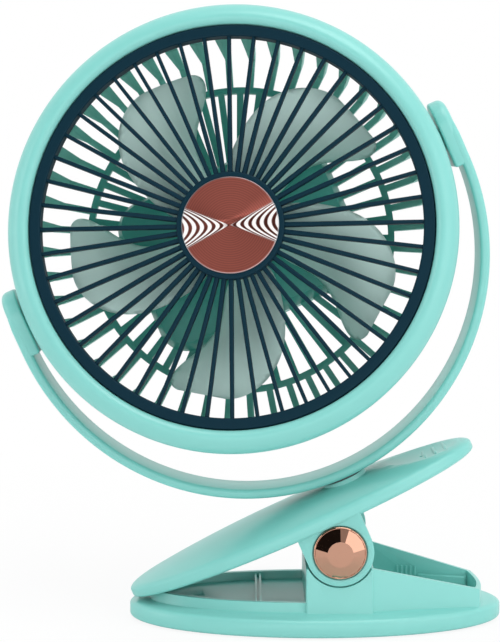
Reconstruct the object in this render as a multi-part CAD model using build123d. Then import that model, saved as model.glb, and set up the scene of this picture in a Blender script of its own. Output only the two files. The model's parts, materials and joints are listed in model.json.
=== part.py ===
from build123d import *
import os
from math import asin, atan2, cos, degrees, pi, radians, sin, sqrt, tan

# Clip-on desk fan: an oval spring clip that also stands by itself, a C-shaped yoke that swivels
# on the clip, and a round head that tilts in the yoke. Millimetres. +Z is up, +X is to the right
# as the fan is seen from the front, and the fan blows towards -Y. The origin is the middle of
# the non-slip pad under the base.

# ------------------------------------------------------------------ fits and common values
RUN_GAP = 0.05          # radial clearance of a shaft that turns in its bore
SEAT_GAP = 0.02         # clearance of a piece that is fixed in its seat
MOVE_GAP = 0.30         # clearance between faces that move past each other
WALL = 2.2              # moulded wall of the head and of the pod

# ------------------------------------------------------------------ base of the clip
OVAL_A = 75.0           # half length of the base and of the upper jaw
BASE_B = 36.0           # half width of the base
BASE_BAND = 7.6         # height of the base's side band above the floor
BASE_CROWN = 2.7        # how far the base's top is domed above that band
EDGE_R = 1.6            # rounding of the base's outer edges
PAD_A = 58.0            # half length of the non-slip pad
PAD_B = 22.0            # half width of the pad
PAD_T = 2.0             # thickness of the pad
PAD_PROUD = 0.6         # how far the pad stands below the base
TRAY_A = 67.0           # half length of the tray's outer wall
TRAY_B = 27.3           # half width of the tray's outer wall
TRAY_WALL = 2.4
TRAY_TOP = 12.5         # height of the tray's rim above the floor
NOSE_GAP = 0.4          # between the closed jaw's pad and the tray's rim
TRAY_FLOOR = 9.0        # height of the tray's floor
DIVIDER_X = -23.0       # the cross rib that splits the tray
DIVIDER_T = 2.6
BLOCK_X0 = -4.4         # hinge block, end towards the nose
BLOCK_X1 = 22.0         # hinge block, end towards the handle
BLOCK_Y = 28.4          # half width of the hinge block
BLOCK_TOP = 26.2
WEDGE_END = 65.0        # where the open wedge behind the block ends
WEDGE_Y0 = 26.0         # half width of the wedge at the block
WEDGE_Y1 = 15.5         # half width of the wedge at its far end
WEDGE_END_TOP = 14.4    # height of the wedge's wall at its far end
WEDGE_BULGE = 2.0       # how far the end wall bows outwards
WEDGE_WALL = 1.7
WEDGE_FLOOR = 9.0
LEDGE_X0 = 44.0
LEDGE_TOP = 13.0
LEDGE_T = 3.0
RIB_COUNT = 5           # fine upright ribs inside the wedge's rear wall
RIB_PITCH = 1.8

# ------------------------------------------------------------------ hinge of the clip
PIVOT_X = 8.8
PIVOT_Z = 32.8
PIN_R = 2.5
EAR_R = 13.3
EAR_T = 5.2             # thickness of each ear, along the pin
NOTCH_GAP = 0.7         # gap between an ear and the hollow that it turns in
KNUCKLE_R = 8.5         # rounded top of the block between the ears
SPRING_SLOT = 8.0       # half width of the slot that holds the spring
CAP_R = 10.4
CAP_FLAT_R = 5.5
CAP_H = 3.4             # how far a cap stands out of its ear
CAP_SEAT = 1.0          # depth of the round seat in the ear under a cap
CAP_GAP = 0.5           # groove round a cap
CAP_FACETS = 18
SPRING_WIRE = 1.3       # diameter of the spring wire
SPRING_R = 5.4          # mean radius of the spring's coils
SPRING_TURNS = 5
SPRING_PITCH = 2.1
SPRING_GAP = 0.05       # between a leg of the spring and the face that it bears on

# ------------------------------------------------------------------ upper jaw
JAW_ANGLE = 24.0        # slope of the closed jaw
JAW_B = 30.0            # half width of the jaw
JAW_SHIFT = -10.0       # middle of the oval, along the jaw from the pin
JAW_UNDER = 10.6        # underside of the jaw, above the pin
JAW_BAND = 5.2          # height of the jaw's side band
JAW_CROWN = 5.3         # how far the jaw's top is domed above that band
JAW_SHELL = 2.4         # wall over the hollow underside
JAW_RIB = 1.6           # thickness of the ribs in the hollow underside
JAW_RIB_Y = 11.0        # the two long ribs stand this far from the middle
JAW_CROSS_RIBS = 6
JAW_RIB_PITCH = 20.0
THUMB_X = 50.0          # middle of the thumb rest, along the jaw from the pin
THUMB_A = 14.0
THUMB_B = 15.0
THUMB_DEEP = 1.7
GRIP_COUNT = 3
GRIP_PITCH = 4.4
GRIP_R = 0.8
GRIP_LEN = 15.0
JAW_PAD_X = -68.0       # middle of the gripping pad under the nose
JAW_PAD_A = 12.0
JAW_PAD_B = 10.0
JAW_PAD_T = 2.0
JAW_PAD_PROUD = 0.5

# ------------------------------------------------------------------ swivel of the yoke
SWIVEL_X = 12.6         # swivel axis, along the jaw from the pin
SEAT_R = 9.2            # flat round seat on top of the jaw
SEAT_RISE = 0.7         # the seat above the top of the dome
FOOT_R = 8.8
FOOT_LIFT = 0.6         # the friction ring's share of the joint's height
POST_R = 6.0
RING_IN = 6.8
RING_OUT = 8.4
RING_SUNK = 0.8         # how deep the friction ring sits in the jaw
WASHER_T = 1.0
WASHER_R = 8.0
HUB_R = 12.0            # boss under the jaw round the swivel bore
SCREW_HEAD_R = 3.6
SCREW_HEAD_H = 1.8
SCREW_R = 1.5
SCREW_LEN = 8.0

# ------------------------------------------------------------------ yoke
YOKE_DROP = 107.2       # from the tilt axis down to the yoke's foot
YOKE_A = 96.3           # half span of the yoke, outside
ARM_STRAIGHT = 10.0     # straight part of each arm below the tilt axis
STRAP_T = 3.8           # thickness of the strap
STRAP_DEPTH = 20.0      # width of the strap, front to back
STRAP_ROUND = 1.4
PAD_IN = 89.6           # inner face of the pads that carry the head
PAD_OUT = 95.8
PAD_UP = 15.0           # how far a pad reaches above the tilt axis
PAD_DOWN = 12.0
TRUNNION_R = 4.5
TRUNNION_END = 81.0     # inner end of the trunnions, from the middle of the head
TILT_WASHER_R = 6.4
TILT_WASHER_T = 0.6

# ------------------------------------------------------------------ head
HEAD_TILT = 12.0        # the head leans back by this at rest
HEAD_R = 88.4           # the widest radius of the bezel
SEAM_R = 87.8           # outer radius where bezel and shell meet
BEZEL_FRONT = 20.5      # the front of the bezel, ahead of the tilt axis
SEAM_GAP = 0.1
BEZEL_IN = 79.4         # the round opening that shows the grille
SHELL_BACK = -11.6      # the back edge of the shell behind the bezel
SHELL_R = 86.2          # outer radius of that back edge
LIP_IN = 83.4           # the opening in the shell's back
LIP_T = 2.2
GRILLE_OUT = 79.1       # outer radius of the dark ring
GRILLE_IN = 74.7
GRILLE_FRONT = 19.0
GRILLE_BACK = 13.4
GRILLE_FLANGE = 83.0
GRILLE_FLANGE_T = 1.5
SPOKES = 48
SPOKE_OUT_W = 1.4
SPOKE_IN_W = 1.8
SPOKE_DEPTH = 3.8
SPOKE_PHASE = -0.5       # turn of the first spoke from the tilt axis, in degrees
HUB_RING_R = 21.1
DISC_R = 19.0
DISC_T = 1.2
DISC_DISH = 0.35

# ------------------------------------------------------------------ rear grille and pod
BACK_FACE = -24.4       # rearmost face of the flat ribs
RIB_T = 2.4             # thickness of the flat ribs
KINK_R = 77.8           # where the ribs turn forwards
NECK_R = 83.1           # outside of the ribs where they pass the shell
RIM_IN = 82.5
RIM_OUT = 85.2
RIM_T = 1.6
SIDE_RIB_T = 3.2        # depth of the ribs along the basket's side
BACK_RING_R = 62.0
BACK_RING_W = 2.6
BACK_RIBS = 48
BACK_RIB_W = 2.6
BACK_PHASE = 2.6        # turn of the first outer rib from the tilt axis, in degrees
POD_A = 45.4            # half width of the pod, at the grille
POD_B = 33.0            # half height of the pod, at the grille
POD_DOWN = 1.5          # the pod's middle below the fan's axis
POD_R = 12.0            # corner radius of the pod
POD_FRONT = -14.0       # the pod's face towards the blades
POD_DRAFT = 18.0        # draft of the pod's sides inside the basket, degrees
POD_TAPER = 1.2         # how much the pod narrows towards its cover
POD_BACK = -38.0        # seam between the pod and its cover
COVER_T = 4.2
COVER_SKIN = 2.0        # thickness of the cover's back wall
COVER_ROUND = 1.8
COVER_SCREW_X = 36.5
COVER_SCREW_Y = 24.0

# ------------------------------------------------------------------ drive and electrics
MOTOR_R = 10.4
MOTOR_LEN = 19.0
MOTOR_NOSE_R = 4.0
SHAFT_R = 1.0
SHAFT_FRONT = 8.0
BLADES = 5
BLADE_TIP_R = 66.0
BLADE_PHASE = -124.0    # direction of the first blade's tip, in degrees from the tilt axis
BLADE_T = 1.4
BLADE_EDGE = 0.5         # thickness of a blade's edges
BLADE_CAMBER = 0.07      # rise of a blade's section, as a share of its chord
ROTOR_R = 17.0
ROTOR_FRONT = 9.0
ROTOR_BACK = -11.0
ROTOR_WALL = 1.8
CELL_R = 9.1
CELL_LEN = 65.0
CELL_UP = 21.2
CELL_Z = -27.0
CRADLE_T = 1.6
BOARD_W = 58.0
BOARD_H = 15.0
BOARD_T = 1.6
BOARD_DOWN = -23.5
BOARD_Z = -33.4
BUTTON_R = 5.0
BUTTON_PROUD = 0.9
BUTTON_TRAVEL = 0.8
BUTTON_FLANGE = 6.6
FLANGE_T = 1.5
LENS_R = 1.3
LENS_X = 11.0
LENS_GAP = 5.0          # pitch of the indicator lights
LENS_COUNT = 3
PORT_W = 9.0
PORT_H = 3.3
PORT_DEPTH = 7.4
PORT_X = 22.0

# ------------------------------------------------------------------ places worked out from the sizes
BASE_BOTTOM = PAD_PROUD
EAR_OUT = BLOCK_Y
EAR_IN = EAR_OUT - EAR_T
JAW_CREST = JAW_UNDER + JAW_BAND + JAW_CROWN
SEAT_TOP = JAW_CREST + SEAT_RISE
FOOT_BOTTOM = SEAT_TOP + FOOT_LIFT
HUB_BOTTOM = JAW_UNDER + SCREW_HEAD_H
RIM_BACK = SHELL_BACK + LIP_T
COVER_BACK = POD_BACK - COVER_T
JAW = Plane(
    origin=(PIVOT_X, 0, PIVOT_Z),
    x_dir=(cos(radians(JAW_ANGLE)), 0, sin(radians(JAW_ANGLE))),
    z_dir=(-sin(radians(JAW_ANGLE)), 0, cos(radians(JAW_ANGLE))),
)
HEAD_CENTRE = JAW.from_local_coords((SWIVEL_X, 0, FOOT_BOTTOM + YOKE_DROP))
# The yoke's own plane: x along the tilt axis, y up the swivel axis, z towards the viewer.
YOKE = Plane(origin=HEAD_CENTRE, x_dir=JAW.x_dir, z_dir=(0, -1, 0))
# The head's own plane is the yoke's, turned back about the tilt axis. z is the fan's axis.
HEAD = Plane(YOKE.location * Rot(-HEAD_TILT, 0, 0))


UPRIGHT = (Align.CENTER, Align.CENTER, Align.MIN)


def tube(outer, inner, low, high):
    """A plain ring about Z between two heights."""
    ring = Cylinder(outer, high - low, align=UPRIGHT)
    bore = Cylinder(inner, high - low, align=UPRIGHT)
    return Pos(0, 0, low) * (ring - bore)


def rod(radius, low, high):
    """A plain cylinder about Z between two heights."""
    return Pos(0, 0, low) * Cylinder(radius, high - low, align=UPRIGHT)


def turned(points):
    """A solid of revolution about Z from (radius, height) points."""
    outline = make_face(Polyline(*[(r, 0, z) for r, z in points], close=True))
    return revolve(outline, Axis.Z)


def along_y(radius, low, high):
    """A cylinder along Y through the origin."""
    return Rot(-90, 0, 0) * rod(radius, low, high)


def domed_oval(half_length, half_width, bottom, band, crown, edge):
    """An oval plate with a plain side band, rounded edges and a domed top."""
    top = bottom + band
    dome_r = (half_width**2 + crown**2) / (2 * crown)
    lean = asin((half_width - edge) / dome_r)
    shoulder = (half_width - edge, top + dome_r * (cos(lean) - 1) + crown)
    outline = [
        Line((0, 0, bottom), (half_width - edge, 0, bottom)),
        ThreePointArc(
            (half_width - edge, 0, bottom),
            (half_width - edge * (1 - sin(pi / 4)), 0, bottom + edge * (1 - cos(pi / 4))),
            (half_width, 0, bottom + edge),
        ),
        Line((half_width, 0, bottom + edge), (half_width, 0, top - edge)),
        ThreePointArc(
            (half_width, 0, top - edge),
            (half_width - 0.26 * edge, 0, (top - edge) * 0.4 + shoulder[1] * 0.6),
            (shoulder[0], 0, shoulder[1]),
        ),
        ThreePointArc(
            (shoulder[0], 0, shoulder[1]),
            (dome_r * sin(lean / 2), 0, top + crown - dome_r * (1 - cos(lean / 2))),
            (0, 0, top + crown),
        ),
        Line((0, 0, top + crown), (0, 0, bottom)),
    ]
    plate = revolve(make_face(outline), Axis.Z)
    return scale(plate, by=(half_length / half_width, 1, 1))


def oval_prism(half_length, half_width, low, high):
    """An upright oval block between two heights."""
    return Pos(0, 0, low) * extrude(Ellipse(half_length, half_width), high - low)


# ------------------------------------------------------------------ the base of the clip
def wedge_outline(inset):
    """The plan of the open wedge behind the hinge block."""
    end = WEDGE_END - inset
    front = (end, -(WEDGE_Y1 - inset))
    back = (end, WEDGE_Y1 - inset)
    start = BLOCK_X1 - (1.0 if inset == 0 else 0.0)
    return make_face(
        [
            Line((start, WEDGE_Y0 - inset), back),
            ThreePointArc(back, (end + WEDGE_BULGE, 0), front),
            Line(front, (start, -(WEDGE_Y0 - inset))),
            Line((start, -(WEDGE_Y0 - inset)), (start, WEDGE_Y0 - inset)),
        ]
    )


def wedge_hollow():
    """The space inside the wedge, down to its floor."""
    return Pos(0, 0, WEDGE_FLOOR) * extrude(wedge_outline(WEDGE_WALL), BLOCK_TOP)


def wedge():
    """Tapering walls behind the hinge block, open at the top, with a ledge and fine ribs."""
    floor = BASE_BAND - EDGE_R
    body = Pos(0, 0, floor) * extrude(wedge_outline(0), BLOCK_TOP - floor)
    slope = make_face(
        Polyline(
            (BLOCK_X1, BLOCK_TOP - 0.4),
            (WEDGE_END + WEDGE_BULGE, WEDGE_END_TOP),
            (WEDGE_END + WEDGE_BULGE, BLOCK_TOP + 5),
            (BLOCK_X1, BLOCK_TOP + 5),
            close=True,
        )
    )
    above = Plane.XZ * extrude(slope, BASE_B, both=True)
    walls = body - wedge_hollow() - above
    taper = (WEDGE_Y0 - WEDGE_Y1) / (WEDGE_END - BLOCK_X1)
    lean = degrees(atan2(taper, 1))

    def against_rear_wall(x, length, height, thick):
        face_y = WEDGE_Y0 - WEDGE_WALL - taper * (x - BLOCK_X1)
        bar = Box(length, thick, height, align=(Align.MIN, Align.MAX, Align.MIN))
        return Pos(x, face_y + 0.3, WEDGE_FLOOR - 0.2) * Rot(0, 0, -lean) * bar

    length = WEDGE_END - WEDGE_WALL - LEDGE_X0 + 0.4
    walls += against_rear_wall(LEDGE_X0, length, LEDGE_TOP - WEDGE_FLOOR, LEDGE_T)
    for index in range(RIB_COUNT):
        x = LEDGE_X0 - RIB_PITCH * (index + 1)
        walls += against_rear_wall(x, 0.7, 7.0, 0.9)
    return walls


def hinge_block():
    """The block that carries the pin, hollowed for the jaw's ears and slotted for the spring."""
    low = BASE_BAND - EDGE_R
    width = BLOCK_X1 - BLOCK_X0
    block = Box(width, 2 * BLOCK_Y, BLOCK_TOP - low, align=(Align.MIN, Align.CENTER, Align.MIN))
    block = Pos(BLOCK_X0, 0, low) * block
    corners = block.edges().filter_by(Axis.Z)
    block = fillet(corners, 0.8)
    between = EAR_IN - MOVE_GAP
    knuckle = Box(2 * KNUCKLE_R, 2 * between, PIVOT_Z - low, align=UPRIGHT)
    block += Pos(PIVOT_X, 0, low) * knuckle
    at_pin = Pos(PIVOT_X, 0, PIVOT_Z)
    block += at_pin * along_y(KNUCKLE_R, -between, between)
    for side in (-1, 1):
        reach = sorted((side * between, side * (BLOCK_Y + 1)))
        block -= at_pin * along_y(EAR_R + NOTCH_GAP, reach[0], reach[1])
    slot = Box(60, 2 * SPRING_SLOT, 60, align=UPRIGHT)
    block -= Pos(PIVOT_X, 0, PIVOT_Z - SPRING_R - SPRING_WIRE / 2 - SPRING_GAP) * slot
    block -= at_pin * along_y(PIN_R + SEAT_GAP, -BLOCK_Y, BLOCK_Y)
    return block


def tray():
    """The low wall of the tray and its floor level, as a solid to add and a hollow to cut."""
    low = BASE_BAND - EDGE_R
    left = Box(OVAL_A * 2, 2 * BASE_B, 40, align=(Align.MAX, Align.CENTER, Align.MIN))
    rim = oval_prism(TRAY_A, TRAY_B, low, TRAY_TOP) & Pos(BLOCK_X0 + 2, 0, 0) * left
    hollow = oval_prism(TRAY_A - TRAY_WALL, TRAY_B - TRAY_WALL, TRAY_FLOOR, TRAY_TOP + 5)
    hollow &= Pos(BLOCK_X0, 0, 0) * left
    divider = Box(DIVIDER_T, 2 * TRAY_B, TRAY_TOP - 0.8 - TRAY_FLOOR, align=UPRIGHT)
    groove = Box(DIVIDER_T - 1.6, 2 * TRAY_B, 20, align=UPRIGHT)
    divider = Pos(DIVIDER_X, 0, TRAY_FLOOR) * (divider - Pos(0, 0, 1.2) * groove)
    return rim, hollow - (divider & hollow)


def base_plate():
    """The oval lower half of the clip: dished tray, hinge block and open wedge in one moulding."""
    plate = domed_oval(OVAL_A, BASE_B, BASE_BOTTOM, BASE_BAND - BASE_BOTTOM, BASE_CROWN, EDGE_R)
    rim, hollow = tray()
    plate = plate + rim - hollow
    # the rim gives way to the pad under the closed jaw's nose
    nose = Box(60, 2 * BASE_B, 30, align=(Align.MAX, Align.CENTER, Align.MIN))
    cut_z = JAW_UNDER - JAW_PAD_PROUD - NOSE_GAP
    plate -= JAW.location * (Pos(JAW_PAD_X + JAW_PAD_A + 8, 0, cut_z) * nose)
    plate = plate - wedge_hollow() + wedge()
    plate += hinge_block()
    plate -= Pos(-47.0, -2.0, TRAY_FLOOR - 1.0) * extrude(SlotOverall(5.0, 1.2), 5)
    plate -= oval_prism(PAD_A + 0.15, PAD_B + 0.15, BASE_BOTTOM - 1, PAD_T)
    return plate


def base_pad():
    """The non-slip pad in the underside, with a stepped rim."""
    pad = oval_prism(PAD_A, PAD_B, 0, PAD_T)
    return chamfer(pad.edges().group_by(Axis.Z)[0], 0.3)


# ------------------------------------------------------------------ the hinge of the clip
def hinge_pin():
    """The steel pin through the block and both ears, with its ends inside the caps."""
    reach = EAR_OUT + CAP_H - 1.4
    pin = along_y(PIN_R, -reach, reach)
    pin = chamfer(pin.edges(), 0.4)
    return Pos(PIVOT_X, 0, PIVOT_Z) * pin


def pivot_cap(side):
    """A bright cap over one end of the pin: flat middle, faceted slope and a thin rim."""
    foot = EAR_OUT - CAP_SEAT + MOVE_GAP
    rim = RegularPolygon(CAP_R - 0.5, CAP_FACETS)
    middle = Pos(0, 0, CAP_H - 1.4) * RegularPolygon(CAP_FLAT_R, CAP_FACETS)
    slope = Pos(0, 0, EAR_OUT + 1.4) * loft([rim.face(), middle.face()], ruled=True)
    cap = rod(CAP_R, foot, EAR_OUT + 1.4) + slope
    cap -= rod(PIN_R + SEAT_GAP, 0, EAR_OUT + CAP_H - 1.4)
    turn = 90 if side < 0 else -90
    return Pos(PIVOT_X, 0, PIVOT_Z) * Rot(turn, 0, 0) * cap


def helix_point(angle, y_start):
    """A point of the spring's coil, and the direction of the wire there."""
    rise = SPRING_PITCH / (2 * pi)
    place = Vector(SPRING_R * cos(angle), y_start + rise * angle, SPRING_R * sin(angle))
    heading = Vector(-SPRING_R * sin(angle), rise, SPRING_R * cos(angle)).normalized()
    return place, heading


def smooth_pair(start, start_dir, end, end_dir):
    """Two arcs that leave one point and reach another with the given directions."""
    gap = end - start
    both = start_dir + end_dir
    turn = 2 * (1 - start_dir.dot(end_dir))
    reach = (-gap.dot(both) + sqrt(gap.dot(both) ** 2 + turn * gap.dot(gap))) / turn
    middle = (start + end + (start_dir - end_dir) * reach) * 0.5
    heading = (end - end_dir * reach) - (start + start_dir * reach)
    return [
        TangentArc(start, middle, tangent=start_dir),
        TangentArc(middle, end, tangent=heading.normalized()),
    ]


def least_gap(path):
    """The least distance between stretches of the wire's middle line that lie half a turn apart."""
    count = 400
    line = [path @ (n / count) for n in range(count + 1)]
    apart = int(count * pi * SPRING_R / path.length)
    pairs = [(a, b) for n, a in enumerate(line) for b in line[n + apart:]]
    return min((a - b).length for a, b in pairs)


def torsion_spring():
    """Five coils round the pin, one leg on the block's floor and one under the jaw's handle."""
    first = radians(-90.0)
    last = first + 2 * pi * SPRING_TURNS + radians(114.0)
    y_start = -SPRING_PITCH * (first + last) / (4 * pi)
    steps = 2 * (2 * SPRING_TURNS + 1)
    step = (last - first) / steps
    spots = [helix_point(first + step * n, y_start) for n in range(steps + 1)]
    wire = []
    for (here, way), (there, onward) in zip(spots, spots[1:]):
        wire += smooth_pair(here, way, there, onward)
    start, start_way = spots[0]
    end, end_way = spots[-1]
    wire.insert(0, Line(start - start_way * 9.0, start))
    wire.append(Line(end, end + end_way * (JAW_UNDER - SPRING_GAP - end.dot(JAW.z_dir))))
    path = Wire(wire)
    profile = Plane(origin=path @ 0, z_dir=path % 0) * Circle(SPRING_WIRE / 2)
    coil = sweep(profile, path=path)
    print("spring: least gap to itself", round(least_gap(path) - SPRING_WIRE, 2), "mm")
    return Pos(PIVOT_X, 0, PIVOT_Z) * coil


# ------------------------------------------------------------------ the upper jaw
def ear(side):
    """One of the two ears that hang from the jaw and turn on the pin."""
    top = JAW_UNDER + 2.0
    shape = Circle(EAR_R) + Pos(0, top / 2) * Rectangle(2 * EAR_R, top)
    inner, outer = sorted((side * EAR_IN, side * EAR_OUT))
    face = Plane(origin=(0, outer, 0), x_dir=(1, 0, 0), z_dir=(0, -1, 0))
    plate = face * extrude(shape, outer - inner)
    seat_from, seat_to = sorted((side * (EAR_OUT - CAP_SEAT), side * (EAR_OUT + 1)))
    plate -= along_y(CAP_R + CAP_GAP, seat_from, seat_to)
    return plate - along_y(PIN_R + RUN_GAP, -BLOCK_Y - 1, BLOCK_Y + 1)


def upper_jaw():
    """The oval upper half of the clip: domed shell, ears, ribs, swivel boss and thumb rest."""
    shell = domed_oval(OVAL_A, JAW_B, JAW_UNDER, JAW_BAND, JAW_CROWN, EDGE_R)
    inner_band = JAW_BAND + 3.0 - JAW_SHELL * 0.6
    inner_crown = JAW_CROWN - JAW_SHELL * 0.4
    hollow = domed_oval(
        OVAL_A - JAW_SHELL, JAW_B - JAW_SHELL, JAW_UNDER - 3.0, inner_band, inner_crown, EDGE_R
    )
    keep = Pos(JAW_PAD_X - JAW_SHIFT, 0, 0) * oval_prism(JAW_PAD_A + 2, JAW_PAD_B + 2, 0, 40)
    keep += Pos(SWIVEL_X - JAW_SHIFT, 0, 0) * rod(HUB_R, 0, 40)
    ear_mid = (EAR_IN + EAR_OUT) / 2
    for side in (-1, 1):
        keep += Pos(-JAW_SHIFT, side * ear_mid, 0) * Box(2 * EAR_R, EAR_T, 80)
    for index in range(JAW_CROSS_RIBS):
        x = JAW_RIB_PITCH * (index - (JAW_CROSS_RIBS - 1) / 2)
        keep += Pos(x, 0, 0) * Box(JAW_RIB, 2 * JAW_B, 80)
    for side in (-1, 1):
        keep += Pos(0, side * JAW_RIB_Y, 0) * Box(2 * OVAL_A, JAW_RIB, 80)
    shell -= hollow - keep
    shell = Pos(JAW_SHIFT, 0, 0) * shell
    shell += Pos(SWIVEL_X, 0, 0) * rod(SEAT_R, JAW_CREST - 3, SEAT_TOP)
    shell += ear(-1) + ear(1)
    # swivel bore, with room below for the washer and the head of the screw
    bore = rod(POST_R + RUN_GAP, 0, SEAT_TOP + 1) + rod(WASHER_R + MOVE_GAP, 0, HUB_BOTTOM + WASHER_T)
    bore += tube(RING_OUT + SEAT_GAP, RING_IN - SEAT_GAP, SEAT_TOP - RING_SUNK, SEAT_TOP + 1)
    shell -= Pos(SWIVEL_X, 0, 0) * bore
    # thumb rest with grip ridges near the end of the handle
    crest = JAW_UNDER + JAW_BAND + JAW_CROWN * (1 - ((THUMB_X - JAW_SHIFT) / OVAL_A) ** 2)
    dish_r = (THUMB_B**2 + THUMB_DEEP**2) / (2 * THUMB_DEEP)
    dish = scale(Sphere(dish_r), by=(THUMB_A / THUMB_B, 1, 1))
    shell -= Pos(THUMB_X, 0, crest + dish_r - THUMB_DEEP) * dish
    for index in range(GRIP_COUNT):
        x = THUMB_X + GRIP_PITCH * (index - (GRIP_COUNT - 1) / 2)
        ridge = along_y(GRIP_R, -GRIP_LEN / 2, GRIP_LEN / 2)
        shell += Pos(x, 0, crest - THUMB_DEEP - 0.1) * ridge
    # round seat for the gripping pad under the nose
    pad_top = JAW_UNDER + JAW_PAD_T - JAW_PAD_PROUD
    pad_seat = oval_prism(JAW_PAD_A + 0.1, JAW_PAD_B + 0.1, 0, pad_top)
    shell -= Pos(JAW_PAD_X, 0, 0) * pad_seat
    return JAW.location * shell


def jaw_pad():
    """The soft gripping pad under the nose of the jaw."""
    low = JAW_UNDER - JAW_PAD_PROUD
    pad = Pos(JAW_PAD_X, 0, 0) * oval_prism(JAW_PAD_A, JAW_PAD_B, low, low + JAW_PAD_T)
    return JAW.location * pad


# ------------------------------------------------------------------ the swivel
def swivel_ring():
    """The friction ring between the jaw's seat and the yoke's foot."""
    ring = tube(RING_OUT, RING_IN, SEAT_TOP - RING_SUNK, FOOT_BOTTOM - RUN_GAP)
    return JAW.location * (Pos(SWIVEL_X, 0, 0) * ring)


def swivel_washer():
    """The wide washer that holds the yoke's post in the jaw."""
    low = HUB_BOTTOM + WASHER_T - 0.1 - WASHER_T
    washer = tube(WASHER_R, SCREW_R + 0.1, low, low + WASHER_T)
    return JAW.location * (Pos(SWIVEL_X, 0, 0) * washer)


def screw(head_r, head_h, shank_r, length):
    """A pan-head screw with a cross recess: head below the origin, shank up Z."""
    head = Pos(0, 0, -head_h) * Cylinder(head_r, head_h, align=UPRIGHT)
    head = fillet(head.edges().group_by(Axis.Z)[0], head_h * 0.45)
    cross = Box(head_r * 1.1, head_r * 0.28, head_h) + Box(head_r * 0.28, head_r * 1.1, head_h)
    head -= Pos(0, 0, -head_h) * cross
    return head + rod(shank_r, -0.1, length)


def swivel_screw():
    """The screw under the jaw that draws the post against the washer."""
    place = Pos(SWIVEL_X, 0, HUB_BOTTOM - 0.1)
    return JAW.location * (place * screw(SCREW_HEAD_R, SCREW_HEAD_H, SCREW_R, SCREW_LEN))


# ------------------------------------------------------------------ the yoke
def yoke_pad(side):
    """The thick rounded end of the strap that carries one trunnion."""
    width = STRAP_DEPTH / 2
    upper = Pos(PAD_UP - width, 0) * Circle(width)
    lower = Pos((PAD_UP - width - PAD_DOWN) / 2, 0) * Rectangle(PAD_UP - width + PAD_DOWN, STRAP_DEPTH)
    outline = upper + lower
    # drawn in a plane across the tilt axis, x up the yoke and y to the back
    across = Plane(origin=(side * PAD_IN, 0, 0), x_dir=(0, 1, 0), z_dir=(side, 0, 0))
    pad = across * extrude(outline, PAD_OUT - PAD_IN)
    outer_rim = pad.faces().sort_by(Axis.X if side > 0 else -Axis.X)[-1].edges()
    pad = fillet(outer_rim, 1.8)
    trunnion = across * Pos(0, 0, TRUNNION_END - PAD_IN) * Cylinder(
        TRUNNION_R, PAD_IN - TRUNNION_END + 1, align=UPRIGHT
    )
    hole = across * Pos(0, 0, TRUNNION_END - PAD_IN - 1) * Cylinder(
        SCREW_R + SEAT_GAP, SCREW_LEN + 1, align=UPRIGHT
    )
    return pad + trunnion - hole


def yoke_arm():
    """The C-shaped strap with its foot, its post and the two pads with trunnions."""
    outer_b = YOKE_DROP - ARM_STRAIGHT
    inner_a = YOKE_A - STRAP_T
    inner_b = outer_b - STRAP_T
    middle = (0, -ARM_STRAIGHT)
    outline = []
    for a, b in ((YOKE_A, outer_b), (inner_a, inner_b)):
        outline.append(EllipticalCenterArc(middle, a, b, start_angle=180, arc_size=180))
        outline += [Line((side * a, -ARM_STRAIGHT), (side * a, 0)) for side in (-1, 1)]
    outline += [Line((side * inner_a, 0), (side * YOKE_A, 0)) for side in (-1, 1)]
    strap = extrude(make_face(outline), STRAP_DEPTH / 2, both=True)
    face_z = STRAP_DEPTH / 2 - 0.01
    rims = [e for e in strap.edges() if abs(e.center().Z) > face_z and e.length > STRAP_T + 1]
    strap = fillet(rims, STRAP_ROUND)
    for side in (-1, 1):
        strap += yoke_pad(side)
    below = Pos(0, -YOKE_DROP, 0)
    foot = below * (Rot(-90, 0, 0) * rod(FOOT_R, 0, 3.2))
    inner_room = Pos(*middle) * extrude(Ellipse(inner_a, inner_b), STRAP_DEPTH, both=True)
    strap += foot - inner_room
    post_end = FOOT_BOTTOM - HUB_BOTTOM - WASHER_T
    strap += below * (Rot(-90, 0, 0) * rod(POST_R, -post_end, 1))
    strap -= below * (Rot(-90, 0, 0) * rod(SCREW_R + SEAT_GAP, -post_end - 1, SCREW_LEN - post_end))
    return YOKE.location * strap


def tilt_washers():
    """A friction washer inside the housing on each trunnion."""
    parts = []
    for side in (-1, 1):
        washer = tube(TILT_WASHER_R, SCREW_R + 0.1, 0, TILT_WASHER_T)
        parts.append(Rot(0, side * -90, 0) * Pos(0, 0, -TRUNNION_END + 0.02) * washer)
    return YOKE.location * Compound(parts)


def tilt_screws():
    """The screw that holds each trunnion from inside the housing."""
    parts = []
    for side in (-1, 1):
        fixed = screw(SCREW_HEAD_R - 0.6, SCREW_HEAD_H - 0.4, SCREW_R, SCREW_LEN - 1)
        parts.append(Rot(0, side * 90, 0) * Pos(0, 0, TRUNNION_END - TILT_WASHER_T - 0.02) * fixed)
    return YOKE.location * Compound(parts)


# ------------------------------------------------------------------ the head's front
def collar(side):
    """A bearing collar for one trunnion, from inside the housing out to its wall."""
    return Rot(0, side * 90, 0) * rod(TRUNNION_R + 2.4, TRUNNION_END + 0.5, HEAD_R - WALL / 2)


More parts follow.
